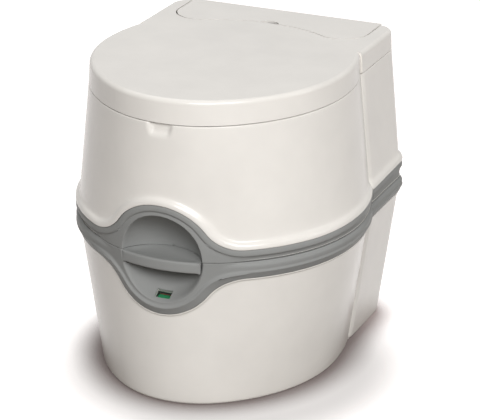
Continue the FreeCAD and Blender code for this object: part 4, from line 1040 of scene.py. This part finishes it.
def seen_apart(tree, others, seen, output):
    """Gives the rays that are seen one shader and all others another."""
    mix = shader_node(tree, "MixShader")
    tree.links.new(seen_rays(tree), mix.inputs["Fac"])
    tree.links.new(others, mix.inputs[1])
    tree.links.new(seen, mix.inputs[2])
    tree.links.new(mix.outputs["Shader"], tree.nodes[output].inputs["Surface"])


# Soft lamps: name, place, width and height in metres, and power in watts
LAMPS = (
    ("top_lamp", (-0.55, 0.35, 1.75), 1.0, 1.0, 5),
    ("front_lamp", (2.0, -3.2, 2.85), 3.4, 1.7, 202),
    ("side_lamp", (3.6, 0.6, 1.3), 1.2, 1.2, 8),
)
LAMP_TARGET = (0, 0, 0.2)
# How open the floor is where its contact shadow is darkest and where it ends
SHADOW_RANGE = (0.5, 0.97)
CONTACT_SAMPLES = 8
# Strength of the floor's own light in the shade and away from it
FLOOR_GLOW = (0.45, 1.7)
FLOOR_ROUGHNESS = 0.9
# Distance at which the camera's view ends, in metres
VIEW_END = 100


class TOILET_OT_stage(bpy.types.Operator):
    """Pale floor, soft light and the camera"""

    bl_idname = "toilet.stage"
    bl_label = "Stage"

    def execute(self, context):
        stage = settings("stage")
        self.floor(stage)
        self.world(stage)
        for lamp in LAMPS:
            self.lamp(*lamp)
        self.camera(stage)
        context.scene.view_settings.view_transform = "Standard"
        return {"FINISHED"}

    def floor(self, stage):
        """Flat floor just below the foot."""
        mesh = bpy.data.meshes.new("floor")
        half = stage.floor_half
        corners = [(-half, -half, 0), (half, -half, 0), (half, half, 0), (-half, half, 0)]
        mesh.from_pydata(corners, [], [(0, 1, 2, 3)])
        mesh.materials.append(self.floor_finish(stage))
        floor = linked("floor", mesh)
        floor.location.z = -stage.floor_drop

    def floor_finish(self, stage):
        """Floor that is darker close round the foot and fades to white away from it."""
        material = bpy.data.materials.new("pale_floor")
        material.use_nodes = True
        tree = material.node_tree
        link = tree.links.new
        seen = tree.nodes["Principled BSDF"]
        set_sockets(seen, {"Roughness": FLOOR_ROUGHNESS, "Specular IOR Level": 0.0})
        nearness = shader_node(tree, "AmbientOcclusion", Distance=stage.shadow_reach)
        nearness.samples = CONTACT_SAMPLES
        tint = shader_node(tree, "ValToRGB")
        set_ramp(tint, (SHADOW_RANGE[0], stage.shadow_colour), (SHADOW_RANGE[1], stage.floor_colour))
        link(nearness.outputs["AO"], tint.inputs["Fac"])
        link(tint.outputs["Color"], seen.inputs["Base Color"])
        link(tint.outputs["Color"], seen.inputs["Emission Color"])
        coords = shader_node(tree, "TexCoord")
        away = shader_node(tree, "VectorMath")
        away.operation = "DISTANCE"
        away.inputs[1].default_value = stage.shade_middle
        fade = shader_node(tree, "MapRange", From_Min=stage.shade_start, From_Max=stage.shade_end,
                           To_Min=FLOOR_GLOW[0], To_Max=FLOOR_GLOW[1])
        fade.interpolation_type = "SMOOTHSTEP"
        link(coords.outputs["Object"], away.inputs[0])
        link(away.outputs["Value"], fade.inputs["Value"])
        link(fade.outputs["Result"], seen.inputs["Emission Strength"])
        bounce = shader_node(tree, "BsdfDiffuse", Color=(*stage.bounce_colour, 1))
        seen_apart(tree, bounce.outputs["BSDF"], seen.outputs["BSDF"], "Material Output")
        return material

    def world(self, stage):
        """Soft light from all round, behind which the background is white."""
        world = bpy.data.worlds.new("studio")
        bpy.context.scene.world = world
        world.use_nodes = True
        light = world.node_tree.nodes["Background"]
        set_sockets(light, {"Color": (*stage.sky_colour, 1), "Strength": stage.sky_strength})
        white = shader_node(world.node_tree, "Background", Color=(1, 1, 1, 1), Strength=1.0)
        seen_apart(world.node_tree, light.outputs["Background"], white.outputs["Background"], "World Output")

    def lamp(self, name, place, width, height, power):
        """Flat lamp that faces the object."""
        data = bpy.data.lights.new(name, "AREA")
        data.shape = "RECTANGLE"
        data.size = width
        data.size_y = height
        data.energy = power
        lamp = linked(name, data)
        lamp.location = place
        lamp.rotation_euler = (Vector(LAMP_TARGET) - Vector(place)).to_track_quat("-Z", "Y").to_euler()

    def camera(self, stage):
        """Camera at its angles and distance from its target."""
        data = bpy.data.cameras.new("camera")
        data.sensor_fit = "HORIZONTAL"
        data.sensor_width = stage.sensor
        data.lens = stage.lens
        data.clip_end = VIEW_END
        camera = linked("camera", data)
        a, e = stage.azimuth, stage.elevation
        back = Vector((math.sin(a) * math.cos(e), -math.cos(a) * math.cos(e), math.sin(e)))
        camera.location = Vector(stage.target) + back * stage.distance
        camera.rotation_euler = (-back).to_track_quat("-Z", "Y").to_euler()
        camera.rotation_euler.rotate_axis("Z", stage.roll)
        bpy.context.scene.camera = camera


class TOILET_PT_panel(bpy.types.Panel):
    """Lists the pieces"""

    bl_idname = "TOILET_PT_panel"
    bl_label = "Portable Toilet"
    bl_space_type = "VIEW_3D"
    bl_region_type = "UI"
    bl_category = "Portable Toilet"

    def draw(self, context):
        for step in OPERATORS:
            self.layout.operator(step.bl_idname)


SETTINGS = {"housing": HousingSizes, "belt": BeltSizes, "handle": HandleSizes, "colours": FinishColours,
            "stage": StageSettings}
OPERATORS = (TOILET_OT_finishes, TOILET_OT_tank, TOILET_OT_casing, TOILET_OT_belt, TOILET_OT_handle,
             TOILET_OT_springs, TOILET_OT_stage)


def register():
    for name, group in SETTINGS.items():
        bpy.utils.register_class(group)
        setattr(bpy.types.Scene, "toilet_" + name, PointerProperty(type=group))
    for step in OPERATORS:
        bpy.utils.register_class(step)
    bpy.utils.register_class(TOILET_PT_panel)


def unregister():
    bpy.utils.unregister_class(TOILET_PT_panel)
    for step in reversed(OPERATORS):
        bpy.utils.unregister_class(step)
    for name, group in SETTINGS.items():
        delattr(bpy.types.Scene, "toilet_" + name)
        bpy.utils.unregister_class(group)


def main():
    register()
    for step in OPERATORS:
        group, name = step.bl_idname.split(".")
        getattr(getattr(bpy.ops, group), name)()


if __name__ == "__main__":
    main()
